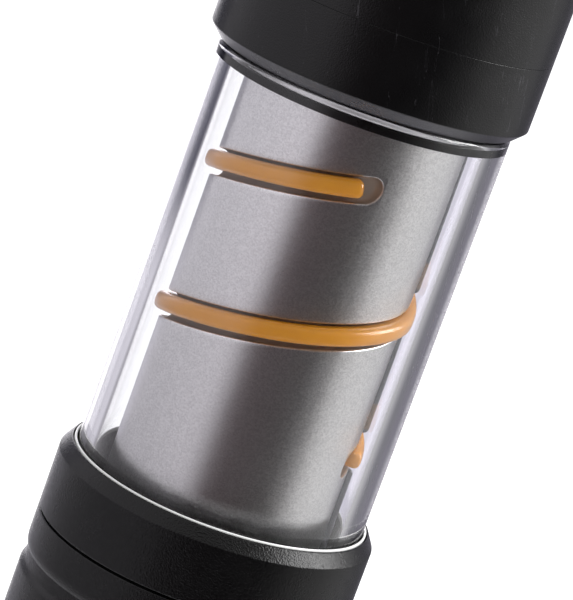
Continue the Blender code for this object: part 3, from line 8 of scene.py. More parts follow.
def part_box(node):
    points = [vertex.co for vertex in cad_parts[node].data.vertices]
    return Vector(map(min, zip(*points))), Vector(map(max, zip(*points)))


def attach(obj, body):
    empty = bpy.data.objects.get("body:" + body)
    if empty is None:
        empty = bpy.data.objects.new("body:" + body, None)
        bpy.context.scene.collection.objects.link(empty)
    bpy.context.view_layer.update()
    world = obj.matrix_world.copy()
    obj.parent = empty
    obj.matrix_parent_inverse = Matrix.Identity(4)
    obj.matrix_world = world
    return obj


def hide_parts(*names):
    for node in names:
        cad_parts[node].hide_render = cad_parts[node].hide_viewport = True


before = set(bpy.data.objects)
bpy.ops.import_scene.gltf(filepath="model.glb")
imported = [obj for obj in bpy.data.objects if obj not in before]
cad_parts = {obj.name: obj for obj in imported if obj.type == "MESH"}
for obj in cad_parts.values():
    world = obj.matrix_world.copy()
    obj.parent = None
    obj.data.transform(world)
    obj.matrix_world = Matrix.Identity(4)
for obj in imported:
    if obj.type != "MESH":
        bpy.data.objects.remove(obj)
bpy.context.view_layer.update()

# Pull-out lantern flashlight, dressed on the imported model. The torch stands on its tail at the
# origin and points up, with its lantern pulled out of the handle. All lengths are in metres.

# The photographer's place: a long lens a little above the lantern, looking down, and tipped so
# that the lantern leans to the right. The torch itself stands upright.
CAMERA_PLACE = (-0.00015, -0.4056, 0.2031)
CAMERA_DOWN = radians(13.34)
CAMERA_TIP = radians(20.08)
CAMERA_LENS = 200.46


def placed(name, data):
    """Put an object of some data in the scene, at the origin."""
    made = bpy.data.objects.new(name, data)
    bpy.context.scene.collection.objects.link(made)
    return made


camera_data = bpy.data.cameras.new("photo_camera")
camera_data.lens = CAMERA_LENS
camera_data.clip_start = 0.01
camera = placed("photo_camera", camera_data)
level_right = Vector((1, 0, 0))
level_up = Vector((0, sin(CAMERA_DOWN), cos(CAMERA_DOWN)))
backward = Vector((0, -cos(CAMERA_DOWN), sin(CAMERA_DOWN)))
tipped_right = level_right * cos(CAMERA_TIP) + level_up * sin(CAMERA_TIP)
tipped_up = level_up * cos(CAMERA_TIP) - level_right * sin(CAMERA_TIP)
camera_turn = Matrix((tipped_right, tipped_up, backward)).transposed().to_4x4()
camera.matrix_world = Matrix.Translation(CAMERA_PLACE) @ camera_turn
bpy.context.scene.camera = camera
bpy.context.scene.view_settings.view_transform = "Standard"

# The studio: a white sweep, bright walls at the left and right, a dark gap at the front right
# and one large soft box behind the torch's right shoulder. The walls are a glow by direction,
# listed in degrees from the camera round to the right.
FLOOR_HALF_WIDTH = 3.0
FLOOR_DROP = 0.0002
FLOOR_COLOUR = (0.78, 0.78, 0.79)
FLOOR_LIFT = 0.40
WALL_GLOW = (
    (-180, 1.20, 1.18, 1.22), (-172, 2.40, 2.34, 2.46), (-159, 2.20, 2.14, 2.26),
    (-155, 0.50, 0.49, 0.54), (-149, 0.36, 0.35, 0.41), (-145, 0.15, 0.15, 0.19),
    (-138, 0.04, 0.04, 0.07), (-133, 0.03, 0.03, 0.06), (-127, 0.63, 0.61, 0.65),
    (-90, 0.62, 0.60, 0.64), (-34, 0.70, 0.67, 0.71), (-14, 0.100, 0.078, 0.082),
    (0, 0.050, 0.036, 0.038), (42, 0.040, 0.036, 0.035), (60, 0.14, 0.135, 0.133),
    (74, 0.58, 0.57, 0.565), (90, 0.64, 0.635, 0.63), (124, 0.62, 0.615, 0.62),
    (130, 0.47, 0.465, 0.48), (136, 0.27, 0.265, 0.29), (141, 0.13, 0.13, 0.15),
    (150, 0.15, 0.145, 0.17), (157, 0.24, 0.23, 0.27), (165, 0.34, 0.32, 0.38),
    (171, 0.30, 0.28, 0.33), (175, 0.12, 0.12, 0.14), (180, 1.20, 1.18, 1.22),
)
UPPER_WALL_GAIN = 1.5
CEILING_GLOW = (0.80, 0.80, 0.80)
CEILING_START = 0.50
CEILING_END = 0.95
FLOOR_FADE_NEAR = 0.25
FLOOR_FADE_FAR = 0.60
FLOOR_FADE_LEFT = 0.74
FLOOR_FADE_RIGHT = 1.06
FLOOR_FADE_TURN = 0.08
BACK_LIGHT = (0.66, 0.64, 0.71)
BACK_LIGHT_NEAR = 0.42
BACK_LIGHT_FAR = 0.60
BACK_LIGHT_START = (radians(-156), radians(-152))
BACK_LIGHT_END = (radians(-134), radians(-128))
FOOT_GLOW = (1.25, 1.23, 1.29)
FOOT_NEAR = 0.06
FOOT_FAR = 0.16
WHITE = (1.0, 1.0, 1.0)
SURROUND = (0.96, 0.96, 0.97)
GREY_CARD = (0.50, 0.48, 0.55)
GREY_CARD_START = radians(171)
GREY_CARD_FULL = radians(160)
GREY_CARD_FROM = 1.0
SOFT_BOX_WIDTH = 0.50
SOFT_BOX_PLACE = (0.78, 0.03, 0.54)
SOFT_BOX_AIM = (0, 0, 0.10)
SOFT_BOX_POWER = 8.5


def feed(tree, made, inputs):
    """Link or set a node's inputs by name or number."""
    for socket, value in inputs.items():
        if isinstance(value, bpy.types.NodeSocket):
            tree.links.new(value, made.inputs[socket])
        else:
            made.inputs[socket].default_value = value


def node(tree, kind, inputs=None, **settings):
    """Add one node to a tree, with its settings and inputs."""
    made = tree.nodes.new(kind)
    for name, value in settings.items():
        setattr(made, name, value)
    feed(tree, made, inputs or {})
    return made


def sum_of(tree, operation, *values, clamp=False):
    """The result of one sum on numbers or sockets."""
    made = node(tree, "ShaderNodeMath", dict(enumerate(values)), operation=operation,
                use_clamp=clamp)
    return made.outputs[0]


def product(tree, first, *others):
    """Numbers or sockets multiplied together."""
    for other in others:
        first = sum_of(tree, "MULTIPLY", first, other)
    return first


def vector_sum(tree, operation, *values):
    """The result of one sum on vectors."""
    made = node(tree, "ShaderNodeVectorMath", dict(enumerate(values)), operation=operation)
    return made.outputs["Value" if operation == "LENGTH" else "Vector"]


def scaled(tree, vector, factor):
    """A vector or colour made longer or brighter by a factor."""
    return node(tree, "ShaderNodeVectorMath", {0: vector, "Scale": factor},
                operation="SCALE").outputs["Vector"]


def parts_of(tree, vector):
    """The three parts of a vector."""
    return node(tree, "ShaderNodeSeparateXYZ", {0: vector}).outputs


def vector_of(tree, **parts):
    """A vector of the named parts."""
    return node(tree, "ShaderNodeCombineXYZ", parts).outputs[0]


def blended(tree, share, first, second):
    """A colour between two colours or sockets."""
    made = node(tree, "ShaderNodeMix", {"Factor": share}, data_type="RGBA")
    for name, value in (("A", first), ("B", second)):
        socket = [s for s in made.inputs if s.name == name and s.type == "RGBA"][0]
        if isinstance(value, bpy.types.NodeSocket):
            tree.links.new(value, socket)
        else:
            socket.default_value = (*value, 1.0)
    return [s for s in made.outputs if s.type == "RGBA"][0]


def eased_share(tree, value, start, end):
    """A smooth share from nought at one value to one at another."""
    made = node(tree, "ShaderNodeMapRange", {"Value": value, "From Min": start, "From Max": end},
                interpolation_type="SMOOTHSTEP")
    return made.outputs["Result"]


def shader_group(name, numbers=None):
    """Open a shader group that is given a vector and named numbers."""
    tree = bpy.data.node_groups.new(name, "ShaderNodeTree")
    face = tree.interface
    face.new_socket("Vector", in_out="INPUT", socket_type="NodeSocketVector")
    for label, value in (numbers or {}).items():
        socket = face.new_socket(label, in_out="INPUT", socket_type="NodeSocketFloat")
        socket.default_value = value
    return tree, tree.nodes.new("NodeGroupInput").outputs


def close_group(tree, outputs):
    """End a shader group in its named outputs."""
    kinds = {"RGBA": "Color", "VALUE": "Float", "VECTOR": "Vector"}
    for label, value in outputs.items():
        tree.interface.new_socket(label, in_out="OUTPUT",
                                  socket_type="NodeSocket" + kinds[value.type])
    feed(tree, tree.nodes.new("NodeGroupOutput"), outputs)
    return tree


def grouped(tree, group, inputs):
    """Place a shader group in a tree and return its outputs."""
    return node(tree, "ShaderNodeGroup", inputs, node_tree=group).outputs


def round_axis(tree, vector):
    """How a vector lies round the torch: its turn from the front, its reach and its parts."""
    split = parts_of(tree, vector)
    turn = sum_of(tree, "ARCTAN2", split["X"], product(tree, split["Y"], -1.0))
    flat = vector_of(tree, X=split["X"], Y=split["Y"])
    return turn, vector_sum(tree, "LENGTH", flat), split


def studio_walls():
    """The glow of the walls round the torch by direction, and how far out and up that points."""
    tree, given = shader_group("studio walls")
    turn, reach, split = round_axis(tree, given["Vector"])
    ramp = node(tree, "ShaderNodeValToRGB", {"Fac": sum_of(tree, "MULTIPLY_ADD", turn, 0.5 / pi, 0.5)})
    stops = ramp.color_ramp.elements
    for index, (angle, *colour) in enumerate(WALL_GLOW):
        spot = (angle + 180) / 360
        stop = stops[index] if index < 1 else stops.new(spot)
        stop.position = spot
        stop.color = (*colour, 1.0)
    stops.remove(stops[-1])
    card = eased_share(tree, turn, GREY_CARD_START, GREY_CARD_FULL)
    card = product(tree, card, sum_of(tree, "GREATER_THAN", turn, GREY_CARD_FROM))
    return close_group(tree, {
        "Color": ramp.outputs["Color"], "Reach": reach,
        "Climb": sum_of(tree, "ARCTAN2", split["Z"], reach),
        "Behind": blended(tree, card, WHITE, GREY_CARD), "Turn": turn})


def ray_masks(tree):
    """Masks for rays that see the studio straight, and for rays that light a matt surface."""
    path = tree.nodes.new("ShaderNodeLightPath").outputs
    unshone = sum_of(tree, "LESS_THAN", path["Glossy Depth"], 0.5)
    lighting = sum_of(tree, "GREATER_THAN", path["Diffuse Depth"], 0.5)
    unlit = sum_of(tree, "SUBTRACT", 1.0, lighting)
    through = product(tree, path["Is Transmission Ray"], unshone, unlit)
    straight = sum_of(tree, "MAXIMUM", path["Is Camera Ray"], through)
    return straight, through, product(tree, path["Is Glossy Ray"], unlit), lighting


STUDIO_WALLS = studio_walls()

world = bpy.data.worlds.new("studio")
world.use_nodes = True
world.cycles.sampling_method = "NONE"
bpy.context.scene.world = world
sky_tree = world.node_tree
sky_tree.nodes.clear()
towards = sky_tree.nodes.new("ShaderNodeTexCoord").outputs["Generated"]
walls = grouped(sky_tree, STUDIO_WALLS, {"Vector": towards})
straight, through, shining, lighting = ray_masks(sky_tree)
sky = blended(sky_tree, eased_share(sky_tree, walls["Climb"], CEILING_START, CEILING_END),
              scaled(sky_tree, walls["Color"], UPPER_WALL_GAIN), CEILING_GLOW)
sky = blended(sky_tree, lighting, sky, SURROUND)
sky = blended(sky_tree, straight, sky, WHITE)
sky = blended(sky_tree, through, sky, walls["Behind"])
sky_glow = node(sky_tree, "ShaderNodeBackground", {"Color": sky, "Strength": 1.0})
node(sky_tree, "ShaderNodeOutputWorld", {"Surface": sky_glow.outputs[0]})

floor_skin = bpy.data.materials.new("studio_floor")
floor_skin.use_nodes = True
floor_skin.cycles.emission_sampling = "NONE"
floor_tree = floor_skin.node_tree
floor_tree.nodes.clear()
spot = floor_tree.nodes.new("ShaderNodeTexCoord").outputs["Object"]
walls = grouped(floor_tree, STUDIO_WALLS, {"Vector": spot})
straight, through, shining, lighting = ray_masks(floor_tree)

# What shining surfaces see in the floor: the walls' glow, fading towards the torch's foot.
rightward = eased_share(floor_tree, parts_of(floor_tree, spot)["X"], -FLOOR_FADE_TURN,
                        FLOOR_FADE_TURN)
fade = sum_of(floor_tree, "MULTIPLY_ADD", rightward, FLOOR_FADE_RIGHT - FLOOR_FADE_LEFT,
              FLOOR_FADE_LEFT)
far = eased_share(floor_tree, walls["Reach"], FLOOR_FADE_NEAR, FLOOR_FADE_FAR)
rest = sum_of(floor_tree, "SUBTRACT", 1.0, fade)
glow = scaled(floor_tree, walls["Color"], sum_of(floor_tree, "MULTIPLY_ADD", far, rest, fade))
near = eased_share(floor_tree, walls["Reach"], BACK_LIGHT_FAR, BACK_LIGHT_NEAR)
inner = eased_share(floor_tree, walls["Turn"], *BACK_LIGHT_START)
outer = eased_share(floor_tree, walls["Turn"], *BACK_LIGHT_END)
near = product(floor_tree, near, sum_of(floor_tree, "SUBTRACT", inner, outer))
glow = blended(floor_tree, near, glow, BACK_LIGHT)
away = eased_share(floor_tree, walls["Reach"], FOOT_NEAR, FOOT_FAR)
glow = blended(floor_tree, away, FOOT_GLOW, glow)
mirrored = node(floor_tree, "ShaderNodeEmission", {"Color": glow, "Strength": 1.0}).outputs[0]

# What the camera sees of it, straight or through the clear tube: lit paper, lifted to white.
paper = node(floor_tree, "ShaderNodeBsdfDiffuse", {"Color": (*FLOOR_COLOUR, 1.0)}).outputs[0]
tone = blended(floor_tree, through, WHITE, walls["Behind"])
tinted = vector_sum(floor_tree, "MULTIPLY", tone, FLOOR_COLOUR)
seen = node(floor_tree, "ShaderNodeBsdfDiffuse", {"Color": tinted}).outputs[0]
lift = node(floor_tree, "ShaderNodeEmission", {"Color": tone, "Strength": FLOOR_LIFT}).outputs[0]
lifted = node(floor_tree, "ShaderNodeAddShader", {0: seen, 1: lift}).outputs[0]
plain = node(floor_tree, "ShaderNodeMixShader", {0: shining, 1: paper, 2: mirrored}).outputs[0]
shown = node(floor_tree, "ShaderNodeMixShader", {0: straight, 1: plain, 2: lifted}).outputs[0]
node(floor_tree, "ShaderNodeOutputMaterial", {"Surface": shown})

floor_mesh = bpy.data.meshes.new("studio_floor")
floor_corners = [(x * FLOOR_HALF_WIDTH, y * FLOOR_HALF_WIDTH, -FLOOR_DROP)
                 for x, y in ((-1, -1), (1, -1), (1, 1), (-1, 1))]
floor_mesh.from_pydata(floor_corners, [], [(0, 1, 2, 3)])
floor_mesh.materials.append(floor_skin)
floor = placed("studio_floor", floor_mesh)

soft_box_data = bpy.data.lights.new("soft_box", "AREA")
soft_box_data.shape = "SQUARE"
soft_box_data.size = SOFT_BOX_WIDTH
soft_box_data.energy = SOFT_BOX_POWER
soft_box = placed("soft_box", soft_box_data)
soft_box.location = SOFT_BOX_PLACE
soft_box_aim = Vector(SOFT_BOX_AIM) - Vector(SOFT_BOX_PLACE)
soft_box.rotation_euler = soft_box_aim.to_track_quat("-Z", "Y").to_euler()

# Tail cap: a black moulded plug screwed into the handle, with a ring to stand on, a recess for
# the bail, a boss for the magnet, a finger notch at the back and flutes to turn it by.
AROUND = 180
BROKEN_EDGE = 0.0002
SOFT_EDGE = 0.0003
THROUGH = 0.002
WELD = 0.0000005
ON_AXIS = 0.0000001
SKIN_DEPTH = 0.0001
CAP_RADIUS = 0.0209
CAP_HEIGHT = 0.0082
CAP_SPIGOT_RADIUS = 0.0191
CAP_SPIGOT_TOP = 0.0120
CAP_SPIGOT_BORE = 0.0165
CAP_FLOOR = 0.0070
CAP_RECESS_RADIUS = 0.0172
CAP_RECESS_DEPTH = 0.0042
CAP_FOOT_EDGE = 0.0011
CAP_BOSS_ROOT = 0.0004
CAP_RECESS_ROOT = 0.0005
CAP_RECESS_EDGE = 0.0004
MAGNET_POCKET = 0.0073
MAGNET_POCKET_TOP = 0.0032
MAGNET_BOSS = 0.0086
MAGNET_BOSS_BOTTOM = 0.0003
CAP_SEAL_FLOOR = 0.0182
CAP_SEAL_LOW = 0.0094
CAP_SEAL_HIGH = 0.0106
PIN_HOLE_RADIUS = 0.0015
PIN_HOLE_END = 0.0194
PIN_LEVEL = 0.0022
NOTCH_RADIUS = 0.0050
NOTCH_START = 0.0150
NOTCH_DEPTH = 0.0018
FLUTE_COUNT = 30
FLUTE_DEPTH = 0.00028
FLUTE_LOW = 0.0017
FLUTE_HIGH = 0.0070
FLUTE_ROWS = 12
SHARP_FROM = radians(38)
GUARD_ROW = 1.5
GUARD_ROOM = 1.6
SCRATCHED_FROM = 0.60
DUST_GREY = (0.42, 0.42, 0.43)
RUB_GREY = (0.022, 0.021, 0.024)


def noise(tree, vector, scale, detail=2.0, **more):
    """Cloudy noise over a vector."""
    return node(tree, "ShaderNodeTexNoise", {"Vector": vector, "Scale": scale, "Detail": detail,
                                             **more}).outputs["Fac"]


def wrapped_vector():
    """Object coordinates unrolled round the torch: turns from the front, then height."""
    tree, given = shader_group("unrolled barrel")
    turn, reach, split = round_axis(tree, given["Vector"])
    return close_group(tree, {"Vector": vector_of(tree, X=turn, Y=split["Z"], Z=reach)})


def moulded_grain():
    """Fine pebbled grain of a spark-eroded mould: a height and a patchy tone."""
    tree, given = shader_group("moulded grain", {"Pebble Size": 0.0003})
    scale = sum_of(tree, "DIVIDE", 1.0, given["Pebble Size"])
    pebbles = node(tree, "ShaderNodeTexVoronoi", {"Vector": given["Vector"], "Scale": scale},
                   feature="SMOOTH_F1").outputs["Distance"]
    rough = noise(tree, given["Vector"], scale, 3.0, Roughness=0.6)
    tone = noise(tree, given["Vector"], product(tree, scale, 0.035), 4.0)
    height = sum_of(tree, "MULTIPLY_ADD", rough, 0.9, pebbles)
    return close_group(tree, {"Height": height, "Tone": tone})


def settled_dust():
    """Scattered dust specks: a mask that is one on a speck."""
    tree, given = shader_group("settled dust", {"Spacing": 0.003, "Speck": 0.05, "Share": 0.4})
    scale = sum_of(tree, "DIVIDE", 1.0, given["Spacing"])
    cells = node(tree, "ShaderNodeTexVoronoi", {"Vector": given["Vector"], "Scale": scale}).outputs
    near = sum_of(tree, "LESS_THAN", cells["Distance"], given["Speck"])
    chosen = sum_of(tree, "LESS_THAN", parts_of(tree, cells["Color"])["X"], given["Share"])
    return close_group(tree, {"Mask": product(tree, near, chosen)})


def hairline_scratches():
    """Thin broken scratches along the second axis of the vector: a mask."""
    tree, given = shader_group("hairline scratches",
                               {"Across": 200.0, "Along": 60.0, "Fineness": 0.02})
    stretch = vector_of(tree, X=given["Across"], Y=given["Along"])
    place = vector_sum(tree, "MULTIPLY", given["Vector"], stretch)
    off_centre = sum_of(tree, "SUBTRACT", noise(tree, place, 1.0, 1.0), 0.5)
    line = sum_of(tree, "LESS_THAN", sum_of(tree, "ABSOLUTE", off_centre), given["Fineness"])
    chosen = sum_of(tree, "GREATER_THAN", noise(tree, place, 0.37, 2.0), SCRATCHED_FROM)
    return close_group(tree, {"Mask": product(tree, line, chosen)})


WRAPPED = wrapped_vector()
MOULDED_GRAIN = moulded_grain()
SETTLED_DUST = settled_dust()
HAIRLINES = hairline_scratches()


def slanted_scratches(tree, lean, across, along, fineness):
    """Hairlines that lean as they climb the barrel: a mask."""
    place = tree.nodes.new("ShaderNodeTexCoord").outputs["Object"]
    parts = parts_of(tree, grouped(tree, WRAPPED, {"Vector": place})["Vector"])
    leaning = sum_of(tree, "MULTIPLY_ADD", parts["Y"], lean, parts["X"])
    slanted = vector_of(tree, X=leaning, Y=parts["Y"])
    return grouped(tree, HAIRLINES, {"Vector": slanted, "Across": across, "Along": along,
                                     "Fineness": fineness})["Mask"]


def new_material(name):
    """A material with its tree, its Principled shader and its object coordinates."""
    made = bpy.data.materials.new(name)
    made.use_nodes = True
    tree = made.node_tree
    place = tree.nodes.new("ShaderNodeTexCoord").outputs["Object"]
    return made, tree, tree.nodes["Principled BSDF"], place


def bumped(tree, shader, height, depth, **facing):
    """Raise the surface by a height that runs from nought to one."""
    bump = node(tree, "ShaderNodeBump", {"Height": height, "Distance": depth, **facing})
    tree.links.new(bump.outputs["Normal"], shader.inputs["Normal"])


def stained(made, share, colour):
    """Lay a colour over a finished skin, where a share of its tree says so."""
    skin = made.node_tree.nodes["Principled BSDF"].inputs["Base Color"]
    below = skin.links[0].from_socket
    made.node_tree.links.new(blended(made.node_tree, share, below, colour), skin)


def moulded_plastic(name, dark, light, gloss, pebble, depth, dust=0.0, constants=None):
    """Moulded plastic or rubber with grain, uneven sheen and a little dust."""
    made, tree, shader, place = new_material(name)
    grain = grouped(tree, MOULDED_GRAIN, {"Vector": place, "Pebble Size": pebble})
    sheen = node(tree, "ShaderNodeMapRange", {"Value": grain["Tone"], "From Min": 0.25,
                                              "From Max": 0.75, "To Min": gloss - 0.05,
                                              "To Max": gloss + 0.05}).outputs["Result"]
    feed(tree, shader, {"Base Color": blended(tree, grain["Tone"], dark, light),
                        "Roughness": sheen, **(constants or {})})
    bumped(tree, shader, grain["Height"], depth)
    if dust:
        specks = grouped(tree, SETTLED_DUST, {"Vector": place, "Spacing": 0.0034, "Speck": 0.035,
                                              "Share": dust})["Mask"]
        stained(made, specks, DUST_GREY)
    return made


BLACK_SATIN = moulded_plastic("black_satin", (0.0012, 0.0012, 0.0016), (0.0022, 0.0021, 0.0026),
                              gloss=0.29, pebble=0.00018, depth=0.000017, dust=0.06,
                              constants={"Specular IOR Level": 0.42})
stained(BLACK_SATIN, slanted_scratches(BLACK_SATIN.node_tree, lean=14.0, across=45.0, along=180.0,
                                       fineness=0.006), RUB_GREY)
BLACK_GRAIN = moulded_plastic("black_grained", (0.0005, 0.0005, 0.0007), (0.0011, 0.0010, 0.0013),
                              gloss=0.26, pebble=0.00020, depth=0.000042, dust=0.10,
                              constants={"Specular IOR Level": 0.33})


def eased(corners, steps=5):
    """Round the corners of a closed outline, with a plain row beside each rounding.

    A corner is (radius, height), or (radius, height, ease) if it is to be rounded.
    """
    corners = [(*corner, 0)[:3] for corner in corners]
    points = []
    count = len(corners)
    for index, (radius, height, ease) in enumerate(corners):
        here = Vector((radius, height))
        if not ease:
            points.append(here)
            continue
        last = corners[index - 1]
        following = corners[(index + 1) % count]
        before = Vector(last[:2]) - here
        after = Vector(following[:2]) - here
        start = here + before.normalized() * ease
        end = here + after.normalized() * ease
        if before.length > GUARD_ROOM * (ease + last[2]):
            points.append(here + before.normalized() * ease * GUARD_ROW)
        for step in range(steps + 1):
            t = step / steps
            points.append(start * (1 - t) ** 2 + here * 2 * t * (1 - t) + end * t * t)
        if after.length > GUARD_ROOM * (ease + following[2]):
            points.append(here + after.normalized() * ease * GUARD_ROW)
    return points


def smoothed(mesh, sharp=SHARP_FROM):
    """Shade a mesh smooth, with a crease wherever it bends sharply."""
    mesh.shade_smooth()
    mesh.set_sharp_from_angle(angle=sharp)


def plain_object(name, mesh_data, skin, sharp=SHARP_FROM):
    """Close a bmesh into a smooth shaded object at the origin, its faces outwards."""
    bmesh.ops.remove_doubles(mesh_data, verts=mesh_data.verts, dist=WELD)
    bmesh.ops.recalc_face_normals(mesh_data, faces=mesh_data.faces)
    mesh = bpy.data.meshes.new(name)
    mesh_data.to_mesh(mesh)
    mesh_data.free()
    smoothed(mesh, sharp)
    if skin:
        mesh.materials.append(skin)
    return placed(name, mesh)


def round_place(radius, angle, height):
    """A place at a radius, a turn round the axis and a height."""
    return radius * cos(angle), radius * sin(angle), height


def turned_mesh(outline, around):
    """A bmesh turned round the torch's axis from a closed outline of (radius, height)."""
    mesh_data = bmesh.new()
    rings = []
    for radius, height in outline:
        if radius < ON_AXIS:
            rings.append([mesh_data.verts.new((0, 0, height))] * around)
            continue
        rings.append([mesh_data.verts.new(round_place(radius, 2 * pi * index / around, height))
                      for index in range(around)])
    for one, two in zip(rings, rings[1:] + rings[:1]):
        if one[0] is one[1] and two[0] is two[1]:
            continue
        for index in range(around):
            following = (index + 1) % around
            corners = (one[index], two[index], two[following], one[following])
            mesh_data.faces.new(list(dict.fromkeys(corners)))
    return mesh_data


def turned(name, corners, skin, around=AROUND, steps=5):
    """A turned piece from (radius, height, ease) corners."""
    return plain_object(name, turned_mesh(eased(corners, steps), around), skin)


def laid(mesh_data, place, *turns):
    """Turn a bmesh about its own origin and move it to a place. Each turn is (angle, axis)."""
    matrix = Matrix.Translation(place)
    for angle, axis in turns:
        matrix = matrix @ Matrix.Rotation(angle, 4, axis)
    bmesh.ops.transform(mesh_data, matrix=matrix, verts=mesh_data.verts)
    return mesh_data


def kept(piece, helpers=()):
    """Bake a piece's modifiers into a plain mesh, and throw the helper objects away."""
    bpy.context.view_layer.update()
    graph = bpy.context.evaluated_depsgraph_get()
    mesh = bpy.data.meshes.new_from_object(piece.evaluated_get(graph))
    piece.modifiers.clear()
    piece.data = mesh
    for helper in helpers:
        bpy.data.objects.remove(helper, do_unlink=True)


def combined(piece, operation, others):
    """Add or take away the shapes of other objects, for kept() to bake."""
    for other in others:
        step = piece.modifiers.new(other.name, "BOOLEAN")
        step.operation = operation
        step.solver = "EXACT"
        step.object = other


def cut(piece, *cutters):
    """Cut each cutter out of a piece."""
    combined(piece, "DIFFERENCE", cutters)
    smooth = piece.modifiers.new("even_normals", "WEIGHTED_NORMAL")
    smooth.keep_sharp = True
    kept(piece, cutters)


def rod_mesh(radius, start, end, around):
    """A bmesh of a plain rod along the axis."""
    return turned_mesh([(0, start), (radius, start), (radius, end), (0, end)], around)


def cross_rod(name, radius, start, end, level, turn, around=48):
    """A rod across the axis, from one distance to another, at a level and a turn."""
    mesh_data = rod_mesh(radius, start, end, around)
    return plain_object(name, laid(mesh_data, (0, 0, level), (turn, "Z"), (pi / 2, "Y")), None)


def geometry_tree(name, numbers, counts=()):
    """Open a Geometry Nodes tree with named numbers, whole counts and a material."""
    tree = bpy.data.node_groups.new(name, "GeometryNodeTree")
    face = tree.interface
    kinds = [("Geometry", "Geometry"), *((label, "Float") for label in numbers),
             *((label, "Int") for label in counts), ("Material", "Material")]
    for label, kind in kinds:
        face.new_socket(label, in_out="INPUT", socket_type="NodeSocket" + kind)
    face.new_socket("Geometry", in_out="OUTPUT", socket_type="NodeSocketGeometry")
    return tree, tree.nodes.new("NodeGroupInput").outputs


def close_tree(tree, given, geometry):
    """End a tree in Realize Instances and Set Material."""
    real = node(tree, "GeometryNodeRealizeInstances", {0: geometry}).outputs[0]
    skinned = node(tree, "GeometryNodeSetMaterial", {"Geometry": real,
                                                     "Material": given["Material"]}).outputs[0]
    node(tree, "NodeGroupOutput", {0: skinned})
    return tree


def run_tree(piece, tree, values):
    """Run a tree on a piece with values for its named inputs, and keep the plain mesh."""
    step = piece.modifiers.new(tree.name, "NODES")
    step.node_group = tree
    for item in tree.interface.items_tree:
        if item.item_type == "SOCKET" and item.in_out == "INPUT" and item.name in values:
            step[item.identifier] = values[item.name]
    kept(piece)
    smoothed(piece.data)


def moved_points(tree, geometry, **how):
    """Set the positions of a geometry's points, or offset them."""
    return node(tree, "GeometryNodeSetPosition", {"Geometry": geometry, **how}).outputs[0]


def pressed_skin(tree, given, pattern):
    """Press a pattern, given as factors, inwards along the radius where the outer skin is."""
    position = tree.nodes.new("GeometryNodeInputPosition").outputs[0]
    split = parts_of(tree, position)
    flat = vector_of(tree, X=split["X"], Y=split["Y"])
    under = sum_of(tree, "SUBTRACT", given["Radius"], SKIN_DEPTH)
    skin = sum_of(tree, "GREATER_THAN", vector_sum(tree, "LENGTH", flat), under)
    depth = product(tree, given["Depth"], *pattern(split), skin, -1.0)
    shift = scaled(tree, vector_sum(tree, "NORMALIZE", flat), depth)
    return close_tree(tree, given, moved_points(tree, given["Geometry"], Offset=shift))


def flute_tree():
    """Shallow flutes pressed round a cylinder, for fingers to turn it by."""
    tree, given = geometry_tree("pressed flutes", ("Radius", "Depth", "Count", "Bottom", "Top"))

    def flutes(split):
        """Round hollows by turn, running out at the bottom and the top."""
        turn = sum_of(tree, "ARCTAN2", split["Y"], split["X"])
        wave = sum_of(tree, "COSINE", product(tree, turn, given["Count"]))
        hollow = sum_of(tree, "POWER", sum_of(tree, "MULTIPLY_ADD", wave, 0.5, 0.5), 0.7)
        middle = product(tree, sum_of(tree, "ADD", given["Bottom"], given["Top"]), 0.5)
        half = product(tree, sum_of(tree, "SUBTRACT", given["Top"], given["Bottom"]), 0.5)
        off = sum_of(tree, "DIVIDE", sum_of(tree, "SUBTRACT", split["Z"], middle), half)
        steep = sum_of(tree, "POWER", sum_of(tree, "ABSOLUTE", off), 4.0)
        return hollow, sum_of(tree, "SUBTRACT", 1.0, steep, clamp=True)

    return pressed_skin(tree, given, flutes)


FLUTES = flute_tree()


def fluted(piece, radius, depth, count, low, high):
    """Press flutes round a black satin piece, between two levels."""
    run_tree(piece, FLUTES, {"Radius": radius, "Depth": depth, "Count": float(count),
                             "Bottom": low, "Top": high, "Material": BLACK_SATIN})


def level_rows(radius, low, high, count):
    """Plain points up a wall, for a pattern that is pressed into it."""
    return [(radius, low + (high - low) * index / count) for index in range(count + 1)]


tail_cap = turned("tail_cap_dressed", [
    (0, MAGNET_POCKET_TOP),
    (MAGNET_POCKET, MAGNET_POCKET_TOP),
    (MAGNET_POCKET, MAGNET_BOSS_BOTTOM, BROKEN_EDGE),
    (MAGNET_BOSS, MAGNET_BOSS_BOTTOM, SOFT_EDGE),
    (MAGNET_BOSS, CAP_RECESS_DEPTH, CAP_BOSS_ROOT),
    (CAP_RECESS_RADIUS, CAP_RECESS_DEPTH, CAP_RECESS_ROOT),
    (CAP_RECESS_RADIUS, 0, CAP_RECESS_EDGE),
    (CAP_RADIUS, 0, CAP_FOOT_EDGE),
    *level_rows(CAP_RADIUS, FLUTE_LOW, FLUTE_HIGH, FLUTE_ROWS),
    (CAP_RADIUS, CAP_HEIGHT, SOFT_EDGE),
    (CAP_SPIGOT_RADIUS, CAP_HEIGHT),
    (CAP_SPIGOT_RADIUS, CAP_SEAL_LOW),
    (CAP_SEAL_FLOOR, CAP_SEAL_LOW),
    (CAP_SEAL_FLOOR, CAP_SEAL_HIGH),
    (CAP_SPIGOT_RADIUS, CAP_SEAL_HIGH),
    (CAP_SPIGOT_RADIUS, CAP_SPIGOT_TOP, SOFT_EDGE),
    (CAP_SPIGOT_BORE, CAP_SPIGOT_TOP, BROKEN_EDGE),
    (CAP_SPIGOT_BORE, CAP_FLOOR),
    (0, CAP_FLOOR),
], BLACK_SATIN, 2 * AROUND)
fluted(tail_cap, CAP_RADIUS, FLUTE_DEPTH, FLUTE_COUNT, FLUTE_LOW, FLUTE_HIGH)
